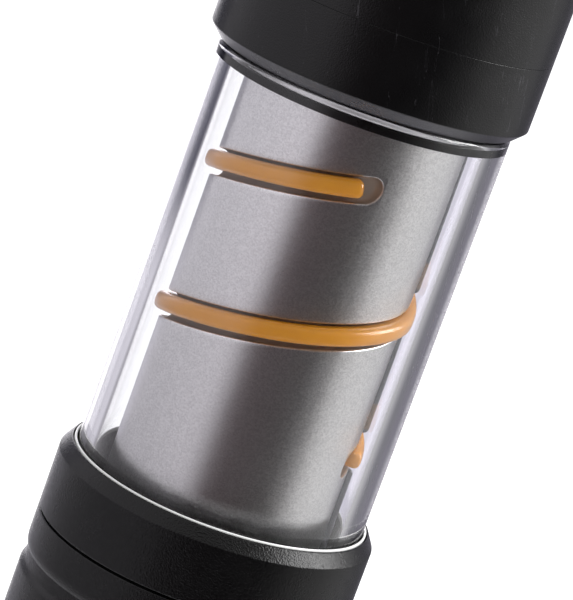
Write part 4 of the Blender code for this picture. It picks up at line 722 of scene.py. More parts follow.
cut(tail_cap,
    cross_rod("right_pin_hole", PIN_HOLE_RADIUS, CAP_RECESS_RADIUS - THROUGH, PIN_HOLE_END,
              PIN_LEVEL, 0),
    cross_rod("left_pin_hole", PIN_HOLE_RADIUS, CAP_RECESS_RADIUS - THROUGH, PIN_HOLE_END,
              PIN_LEVEL, pi),
    cross_rod("finger_notch", NOTCH_RADIUS, NOTCH_START, CAP_RADIUS + THROUGH,
              NOTCH_DEPTH - NOTCH_RADIUS, pi / 2, 64))
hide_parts("tail_cap")
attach(tail_cap, "handle")

# Magnet in the tail: a nickel plated disc pressed into the boss, with a small chamfer and the
# fine round marks of its plating.
MAGNET_RADIUS = 0.0070
MAGNET_LOW = 0.0005
MAGNET_HIGH = 0.0029


def disc(radius, low, high, low_edge, high_edge):
    """The outline of a solid disc or rod."""
    return [(0, low), (radius, low, low_edge), (radius, high, high_edge), (0, high)]


def plated_metal(name, colour, worn, gloss, across, along):
    """Metal with patchy wear and fine drawn or turned marks, so many across and so many along."""
    made, tree, shader, place = new_material(name)
    unrolled = grouped(tree, WRAPPED, {"Vector": place})["Vector"]
    marks = grouped(tree, HAIRLINES, {"Vector": unrolled, "Across": across, "Along": along,
                                      "Fineness": 0.03})["Mask"]
    patches = noise(tree, place, 420.0, 5.0)
    dull = sum_of(tree, "MULTIPLY_ADD", patches, 0.16, gloss - 0.08)
    feed(tree, shader, {"Metallic": 1.0, "Base Color": blended(tree, patches, colour, worn),
                        "Roughness": sum_of(tree, "MULTIPLY_ADD", marks, 0.12, dull)})
    bumped(tree, shader, patches, 0.000004)
    return made


NICKEL = plated_metal("bright_nickel", (0.66, 0.63, 0.58), (0.74, 0.72, 0.69), 0.22, 40.0, 900.0)
magnet = turned("tail_magnet_disc",
                disc(MAGNET_RADIUS, MAGNET_LOW, MAGNET_HIGH, SOFT_EDGE, SOFT_EDGE), NICKEL, 96)
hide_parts("tail_magnet")
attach(magnet, "handle")

# Rubber rings of the handle: the tail cap's seal, the bumper that the lantern lands on and the
# wiper in the collar. They are plain moulded rings and keep their CAD shapes.
BLACK_RUBBER = moulded_plastic("soft_black_rubber", (0.010, 0.010, 0.010), (0.018, 0.018, 0.018),
                               gloss=0.68, pebble=0.00022, depth=0.00001)


def dress(skin, *names):
    """Give CAD nodes a finish."""
    for name in names:
        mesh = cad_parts[name].data
        for index in range(len(mesh.materials)):
            mesh.materials[index] = skin


dress(BLACK_RUBBER, "tail_seal", "end_bumper", "slide_seal")

# Hanging bail: one bent steel wire, sprung into the two holes of the tail cap's wall, folded
# flat in the recess.
BAIL_WIRE = 0.0012
BAIL_HALF_WIDTH = 0.0145
BAIL_REACH = 0.0150
BAIL_CORNER = 0.0018
BAIL_PIN_END = 0.0191
BAIL_ARCH_STEPS = 48
BAIL_CORNER_STEPS = 8
WIRE_TIPS = ((0.995, 0.10), (0.92, 0.39), (0.71, 0.71), (0.39, 0.92))

STEEL = plated_metal("drawn_steel", (0.52, 0.52, 0.53), (0.66, 0.66, 0.67), 0.26, 60.0, 500.0)


def joined_rings(mesh_data, rings):
    """Join rings of vertices, one after the other, and close both ends."""
    for one, two in zip(rings, rings[1:]):
        for index in range(len(one)):
            following = (index + 1) % len(one)
            mesh_data.faces.new((one[index], one[following], two[following], two[index]))
    mesh_data.faces.new(rings[0])
    mesh_data.faces.new(rings[-1])


def wire(name, places, radius, skin, sides):
    """A round wire swept along a path, with rounded ends."""
    start = (places[0] - places[1]).normalized()
    end = (places[-1] - places[-2]).normalized()
    first = places[0] - start * radius
    last = places[-1] - end * radius
    inside = [p for p in places[1:-1]
              if (p - places[0]).length > radius and (p - places[-1]).length > radius]
    stations = [(places[0] - start * radius * (1 - a), b) for a, b in WIRE_TIPS]
    stations += [(p, 1.0) for p in [first] + inside + [last]]
    stations += [(places[-1] - end * radius * (1 - a), b) for a, b in reversed(WIRE_TIPS)]
    mesh_data = bmesh.new()
    rings = []
    side = None
    for index, (place, share) in enumerate(stations):
        ahead = stations[min(index + 1, len(stations) - 1)][0]
        behind = stations[max(index - 1, 0)][0]
        along = (ahead - behind).normalized()
        if side is None:
            side = along.orthogonal().normalized()
        side = (side - along * side.dot(along)).normalized()
        across = along.cross(side)
        turns = [2 * pi * corner / sides for corner in range(sides)]
        rings.append([mesh_data.verts.new(place + (side * cos(t) + across * sin(t)) * radius * share)
                      for t in turns])
    joined_rings(mesh_data, rings)
    return plain_object(name, mesh_data, skin)


arch_depth = BAIL_REACH - BAIL_WIRE - BAIL_CORNER
half_bail = [Vector((BAIL_PIN_END, 0, PIN_LEVEL))]
for index in range(BAIL_CORNER_STEPS + 1):
    angle = pi / 2 * index / BAIL_CORNER_STEPS
    half_bail.append(Vector((BAIL_HALF_WIDTH + BAIL_CORNER * (1 - sin(angle)),
                             BAIL_CORNER * (1 - cos(angle)), PIN_LEVEL)))
bail_arch = []
for index in range(1, BAIL_ARCH_STEPS):
    angle = pi * index / BAIL_ARCH_STEPS
    bail_arch.append(Vector((BAIL_HALF_WIDTH * cos(angle), BAIL_CORNER + arch_depth * sin(angle),
                             PIN_LEVEL)))
other_half = [Vector((-point.x, point.y, point.z)) for point in reversed(half_bail)]
bail = wire("hanging_bail_wire", half_bail + bail_arch + other_half, BAIL_WIRE, STEEL, 20)
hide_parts("hanging_bail")
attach(bail, "bail")

# Handle shell: a thin moulded sleeve with five shallow grip grooves. Each groove starts under a
# rounded belly and runs out in a soft slope. Three keyways inside guide the lantern's foot.
GRIP_RADIUS = 0.0209
SHELL_BORE = 0.0194
SHELL_LOW, SHELL_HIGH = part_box("handle_shell")[0].z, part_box("handle_shell")[1].z
SHELL_COUNTERBORE = 0.0202
SHELL_COUNTERBORE_LOW = 0.0705
SHELL_TOP_EDGE = 0.00018
TOP_BAND = 0.0039
BOTTOM_BAND = 0.0073
GROOVE_COUNT = 5
GROOVE_DEPTH = 0.0004
GROOVE_BELLY = 0.0014
GROOVE_FLOOR = 0.0015
GROOVE_SLOPE = 0.0011
GROOVE_PITCH = (SHELL_HIGH - SHELL_LOW - TOP_BAND - BOTTOM_BAND) / GROOVE_COUNT
BELLY_ROWS = 8
BELLY_FOOT_ROW = 0.00012
SLOPE_ROWS = 6
SLOPE_HEAD_ROW = 0.0003
OUTER_ROW = 0.0002
KEYWAY_RADIUS = 0.0199
KEYWAY_WIDTH = 0.0040
KEYWAY_HIGH = 0.08
KEYWAY_COUNT = 3


def groove_tree():
    """Grip grooves pressed into a cylinder at one pitch, counted down from the top."""
    tree, given = geometry_tree("pressed grip grooves", (
        "Radius", "Depth", "First Groove", "Pitch", "Belly", "Floor", "Slope", "Count"))

    def round_fall(share):
        """A quarter round that starts level with the wall and ends steep."""
        square = sum_of(tree, "SUBTRACT", 1.0, product(tree, share, share), clamp=True)
        return sum_of(tree, "SUBTRACT", 1.0, sum_of(tree, "SQRT", square))

    def grooves(split):
        """Hollows by height, and masks for the counted grooves and for what is under the top."""
        below = sum_of(tree, "SUBTRACT", given["First Groove"], split["Z"])
        number = sum_of(tree, "FLOOR", sum_of(tree, "DIVIDE", below, given["Pitch"]))
        local = sum_of(tree, "SUBTRACT", below, product(tree, number, given["Pitch"]))
        falling = sum_of(tree, "DIVIDE", local, given["Belly"], clamp=True)
        run = sum_of(tree, "SUBTRACT", local, sum_of(tree, "ADD", given["Belly"], given["Floor"]))
        left = sum_of(tree, "DIVIDE", run, given["Slope"], clamp=True)
        climbing = eased_share(tree, sum_of(tree, "SUBTRACT", 1.0, left), 0.0, 1.0)
        hollow = sum_of(tree, "MINIMUM", round_fall(falling), climbing)
        counted = sum_of(tree, "LESS_THAN", number, sum_of(tree, "SUBTRACT", given["Count"], 0.5))
        return hollow, counted, sum_of(tree, "GREATER_THAN", below, 0.0)

    return pressed_skin(tree, given, grooves)


def block(name, low, high, skin=None, turn=0):
    """An upright block between two corners, turned round the axis, as a cutter or a core."""
    mesh_data = bmesh.new()
    corners = bmesh.ops.create_cube(mesh_data, size=1.0)["verts"]
    bmesh.ops.scale(mesh_data, vec=[b - a for a, b in zip(low, high)], verts=corners)
    bmesh.ops.translate(mesh_data, vec=[(a + b) / 2 for a, b in zip(low, high)], verts=corners)
    return plain_object(name, laid(mesh_data, (0, 0, 0), (turn, "Z")), skin)


shell_rows = []
for index in range(GROOVE_COUNT):
    crest = SHELL_HIGH - TOP_BAND - GROOVE_PITCH * index
    shell_rows.append(crest + OUTER_ROW)
    for row in range(BELLY_ROWS + 1):
        shell_rows.append(crest - GROOVE_BELLY * sin(pi / 2 * row / BELLY_ROWS))
    floor_low = crest - GROOVE_BELLY - GROOVE_FLOOR
    shell_rows.append(crest - GROOVE_BELLY - BELLY_FOOT_ROW)
    shell_rows.append(floor_low + SLOPE_HEAD_ROW)
    for row in range(SLOPE_ROWS + 1):
        shell_rows.append(floor_low - GROOVE_SLOPE * row / SLOPE_ROWS)
    shell_rows.append(floor_low - GROOVE_SLOPE - OUTER_ROW)
handle_shell = turned("handle_shell_ribbed", [
    (SHELL_BORE, SHELL_LOW),
    (GRIP_RADIUS, SHELL_LOW, BROKEN_EDGE),
    *[(GRIP_RADIUS, height) for height in reversed(shell_rows)],
    (GRIP_RADIUS, SHELL_HIGH, SHELL_TOP_EDGE),
    (SHELL_COUNTERBORE, SHELL_HIGH),
    (SHELL_COUNTERBORE, SHELL_COUNTERBORE_LOW),
    (SHELL_BORE, SHELL_COUNTERBORE_LOW),
], BLACK_GRAIN)
run_tree(handle_shell, groove_tree(), {
    "Radius": GRIP_RADIUS, "Depth": GROOVE_DEPTH, "First Groove": SHELL_HIGH - TOP_BAND,
    "Pitch": GROOVE_PITCH, "Belly": GROOVE_BELLY, "Floor": GROOVE_FLOOR, "Slope": GROOVE_SLOPE,
    "Count": float(GROOVE_COUNT), "Material": BLACK_GRAIN})
keyways = [block("keyway_%d" % index, (KEYWAY_RADIUS / 2, -KEYWAY_WIDTH / 2, 0),
                 (KEYWAY_RADIUS, KEYWAY_WIDTH / 2, KEYWAY_HIGH),
                 turn=2 * pi * index / KEYWAY_COUNT) for index in range(KEYWAY_COUNT)]
cut(handle_shell, *keyways)
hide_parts("handle_shell")
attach(handle_shell, "handle")

# Collar: a black ring screwed on the handle's mouth, with a sloping shoulder. It holds the
# slide bush and, lower down, the rubber wiper.
COLLAR_LOW = 0.0721
COLLAR_CREST = 0.0800
COLLAR_TOP = 0.08165
COLLAR_MOUTH = 0.01985
COLLAR_LIP_TOP = 0.08175
COLLAR_BORE = 0.01935
COLLAR_SPIGOT = 0.0200
COLLAR_SPIGOT_LOW = 0.0708
FINE_EDGE = 0.0001
LIP_EDGE = 0.00012
BUSH_SEAT = 0.0197
BUSH_FLOOR = 0.07575
WIPER_GROOVE = 0.0204
WIPER_LOW = 0.07295
WIPER_HIGH = 0.07435
collar = turned("collar_ring_moulded", [
    (COLLAR_BORE, COLLAR_SPIGOT_LOW),
    (COLLAR_SPIGOT, COLLAR_SPIGOT_LOW),
    (COLLAR_SPIGOT, COLLAR_LOW),
    (GRIP_RADIUS, COLLAR_LOW, BROKEN_EDGE),
    (GRIP_RADIUS, COLLAR_CREST, FINE_EDGE),
    (COLLAR_MOUTH, COLLAR_TOP, LIP_EDGE),
    (BUSH_SEAT, COLLAR_LIP_TOP),
    (BUSH_SEAT, BUSH_FLOOR),
    (COLLAR_BORE, BUSH_FLOOR),
    (COLLAR_BORE, WIPER_HIGH),
    (WIPER_GROOVE, WIPER_HIGH),
    (WIPER_GROOVE, WIPER_LOW),
    (COLLAR_BORE, WIPER_LOW),
], BLACK_GRAIN, 2 * AROUND)
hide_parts("collar_ring")
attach(collar, "handle")

# Slide bush: a thin natural nylon sleeve in the collar's mouth. Its lip stands just proud and
# shows as the white ring round the clear tube.
BUSH_BORE = 0.0192
BUSH_RADIUS = 0.0195
BUSH_LOW = 0.07605
BUSH_HIGH = 0.08191
BUSH_PALE_LIP = 0.00035
# Grey for the bush below its pale lip.
BUSH_LOWER_GREY = (0.035, 0.034, 0.036)


def ring(bore, radius, low, high, edges):
    """The outline of a ring, with an ease for each of its four corners."""
    places = ((bore, low), (radius, low), (radius, high), (bore, high))
    return [(*place, edge) for place, edge in zip(places, edges)]


def clouded(name, scale, detail, first, second, gloss, spread, depth=0.0, constants=None):
    """A skin with two tones in soft clouds, which change its sheen and its height as well."""
    made, tree, shader, place = new_material(name)
    cloud = noise(tree, place, scale, detail)
    feed(tree, shader, {"Base Color": blended(tree, cloud, first, second),
                        "Roughness": sum_of(tree, "MULTIPLY_ADD", cloud, spread, gloss),
                        **(constants or {})})
    if depth:
        bumped(tree, shader, cloud, depth)
    return made


def height_in(tree):
    """In a material: the height above the torch's foot."""
    return parts_of(tree, tree.nodes.new("ShaderNodeTexCoord").outputs["Object"])["Z"]


def natural_nylon():
    """Milky nylon with faint flow marks, pale at the lip and darker grey further down."""
    made = clouded("natural_nylon_milky", 260.0, 3.0, (0.80, 0.80, 0.79), (0.88, 0.88, 0.87),
                   gloss=0.2, spread=0.2, depth=0.00001)
    tree = made.node_tree
    # Darker grey from a little below the lip downwards.
    stained(made, eased_share(tree, height_in(tree), BUSH_HIGH - BUSH_PALE_LIP,
                              BUSH_HIGH - 2 * BUSH_PALE_LIP), BUSH_LOWER_GREY)
    return made


bush = turned("slide_bush_sleeve",
              ring(BUSH_BORE, BUSH_RADIUS, BUSH_LOW, BUSH_HIGH,
                   (FINE_EDGE, FINE_EDGE, LIP_EDGE, LIP_EDGE)), natural_nylon())
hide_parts("slide_bush")
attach(bush, "handle")

# Lantern foot: the black plug that closes the tube and the column from below, with three lugs
# that run in the handle's keyways. Three small screws hold the column on it.
dress(BLACK_SATIN, "column_foot")
dress(STEEL, "foot_screw_1", "foot_screw_2", "foot_screw_3")

# Battery, carrier, spring and contact inside the column: a sleeved rechargeable cell in a white
# carrier, between a coil spring and a brass disc in its white holder.


def printed_sleeve():
    """Blue shrink sleeve of the cell, with soft wrinkles."""
    made, tree, shader, place = new_material("blue_shrink_sleeve")
    wrinkles = noise(tree, place, 180.0, 4.0, Distortion=0.6)
    skin = blended(tree, wrinkles, (0.03, 0.10, 0.26), (0.05, 0.16, 0.36))
    feed(tree, shader, {"Base Color": skin, "Roughness": 0.3})
    bumped(tree, shader, wrinkles, 0.00004)
    return made


WHITE_PLASTIC = moulded_plastic("white_moulding", (0.72, 0.72, 0.70), (0.80, 0.80, 0.78),
                                gloss=0.45, pebble=0.0004, depth=0.000008)
BRASS = plated_metal("spun_brass", (0.62, 0.42, 0.14), (0.72, 0.54, 0.24), 0.28, 30.0, 800.0)
dress(printed_sleeve(), "battery_cell")
dress(WHITE_PLASTIC, "cell_carrier", "contact_holder")
dress(STEEL, "cell_spring")
dress(BRASS, "contact_plate")

# Silver column: a thin moulded tube sprayed with silver paint, with a helical groove pressed
# into it for the light filament. The groove has round corners and half round ends.
COLUMN_RADIUS = 0.0145
COLUMN_BORE = 0.0121
COLUMN_LOW = 0.0698
COLUMN_HIGH = 0.1339
FILAMENT_RADIUS = 0.00115
FILAMENT_START = radians(-16)
FILAMENT_END = radians(645.4)
FILAMENT_LOW = 0.09146
FILAMENT_HIGH = 0.12645
PITCH_PER_RADIAN = (FILAMENT_HIGH - FILAMENT_LOW) / (FILAMENT_END - FILAMENT_START)
HELIX_PER_RADIAN = sqrt(COLUMN_RADIUS ** 2 + PITCH_PER_RADIAN ** 2)
CHANNEL_HALF = 0.0017
CHANNEL_DROP = 0.00022
CHANNEL_DEPTH = 0.00145
CHANNEL_MARGIN = 0.0023
CHANNEL_CORNER = 0.0008
CHANNEL_CORNER_STEPS = 6
CHANNEL_LIP = 0.00016
CHANNEL_LIP_STEPS = 3
CHANNEL_DRAFT = 0.00001
CHANNEL_FLAT = 0.25
RIBBON_RISES = (0.0062, 0.0042, 0.0030, 0.0023)
RIBBON_LAPS = range(-3, 5)
COLUMN_TURN_STEPS = 144
RIBBON_WELD = 0.000002
NARROWEST_TURN = 0.0004
PIN_BORE = 0.0008
PIN_BEYOND = radians(2.7)
PIN_TURNS = {"lower": FILAMENT_START - PIN_BEYOND, "upper": FILAMENT_END + PIN_BEYOND}
DRILL_START = 0.0111
DRILL_SHORT = 0.0002
CREASE_FROM = radians(50)
# Brown-grey painted into the groove: painted shade and a painted amber reflection of the filament.
GROOVE_PAINTED_SHADE = (0.42, 0.34, 0.28)
FLAKE_TILT = 0.055


def helix_level(angle):
    """The height of the filament's middle line at a turn."""
    return FILAMENT_LOW + PITCH_PER_RADIAN * (angle - FILAMENT_START)


def channel_section():
    """Half of the channel's section as (half width, depth), from the lip to the floor."""
    rows = []
    for step in range(CHANNEL_LIP_STEPS + 1):
        angle = pi / 2 * step / CHANNEL_LIP_STEPS
        rows.append((CHANNEL_HALF + CHANNEL_LIP * (1 - sin(angle)), CHANNEL_LIP * (1 - cos(angle))))
    for step in range(CHANNEL_CORNER_STEPS + 1):
        angle = pi / 2 * step / CHANNEL_CORNER_STEPS
        rows.append((CHANNEL_HALF - CHANNEL_DRAFT - CHANNEL_CORNER * (1 - cos(angle)),
                     CHANNEL_DEPTH - CHANNEL_CORNER + CHANNEL_CORNER * sin(angle)))
    rows.append((CHANNEL_HALF * CHANNEL_FLAT, CHANNEL_DEPTH))
    return rows


def wound_skin():
    """The column's outer skin: one ribbon wound from below its foot to above its top."""
    section = channel_section()
    run_out = (CHANNEL_MARGIN - CHANNEL_HALF) / HELIX_PER_RADIAN
    first = FILAMENT_START - run_out
    last = FILAMENT_END + run_out
    turns = [2 * pi * index / COLUMN_TURN_STEPS for index in range(COLUMN_TURN_STEPS)]
    for width in [0.0] + [width for width, depth in section]:
        mark = width / HELIX_PER_RADIAN
        turns += [(first - mark) % (2 * pi), (last + mark) % (2 * pi)]
    turns = sorted(turns)
    turns = [turn for index, turn in enumerate(turns)
             if turn - turns[index - 1] > NARROWEST_TURN or not index]
    slant = HELIX_PER_RADIAN / COLUMN_RADIUS

    def depth_at(distance):
        """The channel's depth at a distance from its middle line."""
        for (outer, shallow), (inner, deep) in zip(section, section[1:]):
            if distance >= outer:
                return shallow if distance <= section[0][0] else 0.0
            if distance >= inner:
                return shallow + (deep - shallow) * (outer - distance) / (outer - inner)
        return CHANNEL_DEPTH

    mesh_data = bmesh.new()
    lines = []
    for angle in [turn + 2 * pi * lap for lap in RIBBON_LAPS for turn in turns]:
        beyond = max(first - angle, angle - last, 0.0) * HELIX_PER_RADIAN
        half = [(rise, 0.0) for rise in (PITCH_PER_RADIAN * pi, *RIBBON_RISES)]
        for width, depth in section:
            shown = sqrt(max(width ** 2 - beyond ** 2, 0.0))
            half.append((shown * slant, depth_at(max(width, beyond))))
        offsets = [(-rise, depth) for rise, depth in half] + [(0.0, depth_at(beyond))] + half[::-1]
        centre = helix_level(angle) - CHANNEL_DROP
        lines.append([mesh_data.verts.new(round_place(
            COLUMN_RADIUS - depth, angle, min(max(centre + rise, COLUMN_LOW), COLUMN_HIGH)))
            for rise, depth in offsets])
    for one, two in zip(lines, lines[1:]):
        for row in range(len(one) - 1):
            mesh_data.faces.new((one[row], two[row], two[row + 1], one[row + 1]))
    bmesh.ops.remove_doubles(mesh_data, verts=mesh_data.verts, dist=RIBBON_WELD)
    return mesh_data


def closed_column():
    """Turn the skin's open ends inwards to the bore, and join them down the bore."""
    mesh_data = wound_skin()
    rim = [edge for edge in mesh_data.edges if edge.is_boundary]
    spun = bmesh.ops.extrude_edge_only(mesh_data, edges=rim)["geom"]
    inner = [part for part in spun if isinstance(part, bmesh.types.BMVert)]
    for vert in inner:
        flat = Vector((vert.co.x, vert.co.y, 0)).normalized() * COLUMN_BORE
        vert.co.x, vert.co.y = flat.x, flat.y
    bore = [part for part in spun if isinstance(part, bmesh.types.BMEdge)
            and all(vert in inner for vert in part.verts)]
    bmesh.ops.bridge_loops(mesh_data, edges=bore)
    return mesh_data


def silver_paint():
    """Sprayed silver paint: tilted metal flakes under a skin with a little orange peel; painted shade
    and amber reflection in the groove.
    """
    made, tree, shader, place = new_material("sprayed_silver")
    flakes = node(tree, "ShaderNodeTexVoronoi", {"Vector": place, "Scale": 6000.0}).outputs["Color"]
    peel = noise(tree, place, 1500.0, 3.0)
    coat = blended(tree, parts_of(tree, flakes)["X"], (0.76, 0.755, 0.75), (0.99, 0.985, 0.975))
    reach = parts_of(tree, grouped(tree, WRAPPED, {"Vector": place})["Vector"])["Z"]
    painted_groove_shade = eased_share(tree, reach, COLUMN_RADIUS - CHANNEL_LIP, COLUMN_RADIUS - 2.5 * CHANNEL_LIP)
    dull = sum_of(tree, "MULTIPLY_ADD", peel, 0.06, 0.26)
    # Down in the groove the paint turns brown-grey, duller and less metallic: painted shade and a
    # painted amber reflection of the filament.
    feed(tree, shader, {"Base Color": blended(tree, painted_groove_shade, coat, GROOVE_PAINTED_SHADE),
                        "Metallic": sum_of(tree, "MULTIPLY_ADD", painted_groove_shade, -0.55, 1.0),
                        "Roughness": sum_of(tree, "MULTIPLY_ADD", painted_groove_shade, 0.18, dull)})
    tilt = scaled(tree, vector_sum(tree, "SUBTRACT", flakes, (0.5, 0.5, 0.5)), FLAKE_TILT)
    face = tree.nodes.new("ShaderNodeNewGeometry").outputs["Normal"]
    leaning = vector_sum(tree, "NORMALIZE", vector_sum(tree, "ADD", face, tilt))
    bumped(tree, shader, peel, 0.000003, Normal=leaning)
    return made


column = plain_object("silver_column_wound", closed_column(), silver_paint(), CREASE_FROM)
drill_end = COLUMN_RADIUS - CHANNEL_DEPTH - DRILL_SHORT
cut(column, *[cross_rod(name + "_pin_hole", PIN_BORE, DRILL_START, drill_end, helix_level(angle),
                        angle, 32) for name, angle in PIN_TURNS.items()])
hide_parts("silver_column")
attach(column, "lantern")

# Column seam: the raised parting rib of the moulded column, left grey by the spray, on its right
# side. It stops short of the groove at each crossing; above each, a brown painted filament reflection.
RIB_ANGLE = radians(-6)
RIB_HALF = 0.0004
RIB_LOW = 0.0742
RIB_HIGH = 0.1334
RIB_REACH_LOW = 0.0009
RIB_REACH_HIGH = 0.0003
RIB_SINK = 0.0003
RIB_FOOT = 0.0001
RIB_STEP = 0.0020
RIB_RUN_OUT = 0.0006
RIB_CLEAR = 0.0021
RIB_CLEAR_ABOVE = 0.0029
RIB_CREST_STEPS = 8
RIB_ROUNDNESS = 0.6
REFLECTION_LOW = 0.0032
REFLECTION_HIGH = 0.0072
REFLECTION_EDGE = 0.0005
# Brown of a painted reflection of the filament, laid on the rib above each groove crossing.
PAINTED_FILAMENT_REFLECTION = (0.23, 0.155, 0.115)
rib_crossings = [helix_level(RIB_ANGLE + 2 * pi * turns) for turns in range(2)]


def rib_length(mesh_data, low, high):
    """One closed length of rib, with its crest running down at both ends."""
    span = high - low - 2 * RIB_RUN_OUT
    count = max(2, round(span / RIB_STEP))
    inner = [low + RIB_RUN_OUT + span * index / count for index in range(count + 1)]
    levels = [low, low + FINE_EDGE, low + SOFT_EDGE, *inner, high - SOFT_EDGE, high - FINE_EDGE, high]
    outward = Vector(round_place(1, RIB_ANGLE, 0))
    across = Vector((-outward.y, outward.x, 0))
    turns = [pi * step / RIB_CREST_STEPS for step in range(RIB_CREST_STEPS + 1)]
    rows = []
    for level in levels:
        share = (level - RIB_LOW) / (RIB_HIGH - RIB_LOW)
        ending = min(1.0, min(level - low, high - level) / RIB_RUN_OUT)
        reach = RIB_REACH_LOW + (RIB_REACH_HIGH - RIB_REACH_LOW) * share
        reach = reach * sqrt(1 - (1 - ending) ** 2) + RIB_FOOT
        spots = [(RIB_HALF * cos(turn), reach * sin(turn) ** RIB_ROUNDNESS - RIB_FOOT)
                 for turn in turns]
        spots = [(RIB_HALF, -RIB_SINK), *spots, (-RIB_HALF, -RIB_SINK)]
        rows.append([mesh_data.verts.new(outward * (COLUMN_RADIUS + far) + across * side
                                         + Vector((0, 0, level))) for side, far in spots])
    joined_rings(mesh_data, rows)


def rib_grey():
    """Bare grey plastic with a painted reflection of the filament in brown bands above the groove's
    crossings.
    """
    made = moulded_plastic("seam_grey", (0.085, 0.085, 0.10), (0.14, 0.14, 0.165), gloss=0.36,
                           pebble=0.00014, depth=0.000010)
    tree = made.node_tree
    height = height_in(tree)
    # Above each crossing a brown band: a painted reflection of the filament.
    for level in rib_crossings:
        above = eased_share(tree, height, level + REFLECTION_LOW, level + REFLECTION_LOW + REFLECTION_EDGE)
        below = eased_share(tree, height, level + REFLECTION_HIGH, level + REFLECTION_HIGH - REFLECTION_EDGE)
        stained(made, product(tree, above, below), PAINTED_FILAMENT_REFLECTION)
    return made


rib_mesh = bmesh.new()
rib_stops = [RIB_LOW]
for level in rib_crossings:
    rib_stops += [level - RIB_CLEAR, level + RIB_CLEAR_ABOVE]
rib_stops.append(RIB_HIGH)
for low, high in zip(rib_stops[::2], rib_stops[1::2]):
    rib_length(rib_mesh, low, high)
rib = plain_object("column_seam_rib", rib_mesh, rib_grey(), CREASE_FROM)
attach(rib, "lantern")

# Light filament: a cord of amber phosphor silicone over a flexible strip of chips, one unbroken
# length wound up the column in its groove, with round moulded ends.
FILAMENT_POINTS = 780
FILAMENT_SIDES = 24


def filament_tree():
    """A slightly squared cord wound up a cylinder, tapered to half round tips."""
    tree, given = geometry_tree("wound filament", (
        "Winding Radius", "Cord Radius", "Start Angle", "Sweep", "Start Height", "Rise"),
        ("Points", "Sides"))
    line = node(tree, "GeometryNodeMeshLine", {"Count": given["Points"]}).outputs["Mesh"]
    curve = node(tree, "GeometryNodeMeshToCurve", {"Mesh": line}).outputs["Curve"]
    index = tree.nodes.new("GeometryNodeInputIndex").outputs[0]
    share = sum_of(tree, "DIVIDE", index, sum_of(tree, "SUBTRACT", given["Points"], 1.0))
    angle = sum_of(tree, "MULTIPLY_ADD", share, given["Sweep"], given["Start Angle"])
    wound = moved_points(tree, curve, Position=vector_of(
        tree, X=product(tree, sum_of(tree, "COSINE", angle), given["Winding Radius"]),
        Y=product(tree, sum_of(tree, "SINE", angle), given["Winding Radius"]),
        Z=sum_of(tree, "MULTIPLY_ADD", share, given["Rise"], given["Start Height"])))
    whole = node(tree, "GeometryNodeSplineLength").outputs["Length"]
    run = node(tree, "GeometryNodeSplineParameter").outputs["Length"]
    nearest = sum_of(tree, "MINIMUM", run, sum_of(tree, "SUBTRACT", whole, run))
    inset = sum_of(tree, "DIVIDE", nearest, product(tree, given["Cord Radius"], 0.8), clamp=True)
    missing = sum_of(tree, "SUBTRACT", 1.0, inset)
    blunt = sum_of(tree, "SUBTRACT", 1.0, sum_of(tree, "POWER", missing, 2.2), clamp=True)
    tip = sum_of(tree, "MAXIMUM", sum_of(tree, "POWER", blunt, 0.45), 0.02)
    tapered = node(tree, "GeometryNodeSetCurveRadius", {"Curve": wound, "Radius": tip}).outputs[0]
    upright = node(tree, "GeometryNodeSetCurveNormal", {"Curve": tapered}, mode="Z_UP").outputs[0]
    circle = node(tree, "GeometryNodeCurvePrimitiveCircle", {
        "Resolution": given["Sides"], "Radius": 1.0}).outputs["Curve"]
    corner = tree.nodes.new("GeometryNodeInputPosition").outputs[0]
    sides = parts_of(tree, corner)
    cubes = [sum_of(tree, "POWER", sum_of(tree, "ABSOLUTE", sides[axis]), 3.0) for axis in "XY"]
    swell = sum_of(tree, "POWER", sum_of(tree, "ADD", *cubes), 1 / 3)
    squarer = scaled(tree, corner, sum_of(tree, "DIVIDE", given["Cord Radius"], swell))
    circle = moved_points(tree, circle, Position=squarer)
    sweep = node(tree, "GeometryNodeCurveToMesh", {"Curve": upright, "Profile Curve": circle,
                                                   "Fill Caps": True})
    if "Scale" in sweep.inputs:
        feed(tree, sweep, {"Scale": tree.nodes.new("GeometryNodeInputRadius").outputs[0]})
    return close_tree(tree, given, sweep.outputs[0])


PHOSPHOR = clouded("amber_silicone", 700.0, 4.0, (0.82, 0.30, 0.001), (0.90, 0.37, 0.003),
                   gloss=0.26, spread=0.16, depth=0.00003,
                   constants={"Coat Weight": 0.7, "Coat Roughness": 0.22})
seed_mesh = bpy.data.meshes.new("filament_seed")
seed_mesh.materials.append(PHOSPHOR)
filament = placed("led_filament_cord", seed_mesh)
run_tree(filament, filament_tree(), {
    "Winding Radius": COLUMN_RADIUS, "Cord Radius": FILAMENT_RADIUS,
    "Start Angle": FILAMENT_START, "Sweep": FILAMENT_END - FILAMENT_START,
    "Start Height": FILAMENT_LOW, "Rise": FILAMENT_HIGH - FILAMENT_LOW,
    "Points": FILAMENT_POINTS, "Sides": FILAMENT_SIDES, "Material": PHOSPHOR})
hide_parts("led_filament")
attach(filament, "lantern")

# Filament pins and leads: a steel pin at each end of the filament goes through the column's
# wall to a red lead inside, which runs up to the board in the head.
RED_LEAD = moulded_plastic("red_lead", (0.36, 0.02, 0.015), (0.50, 0.04, 0.03), gloss=0.35,
                           pebble=0.0006, depth=0.000004)
PIN_RADIUS = 0.0004
PIN_START = 0.0112
PIN_END = 0.0128
for name, angle in PIN_TURNS.items():
    pin = cross_rod("filament_pin_%s_cut" % name, PIN_RADIUS, PIN_START, PIN_END,
                    helix_level(angle), angle, 24)
    pin.data.materials.append(STEEL)
    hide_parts("filament_pin_" + name)
    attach(pin, "lantern")
dress(RED_LEAD, "filament_lead_lower", "filament_lead_upper")

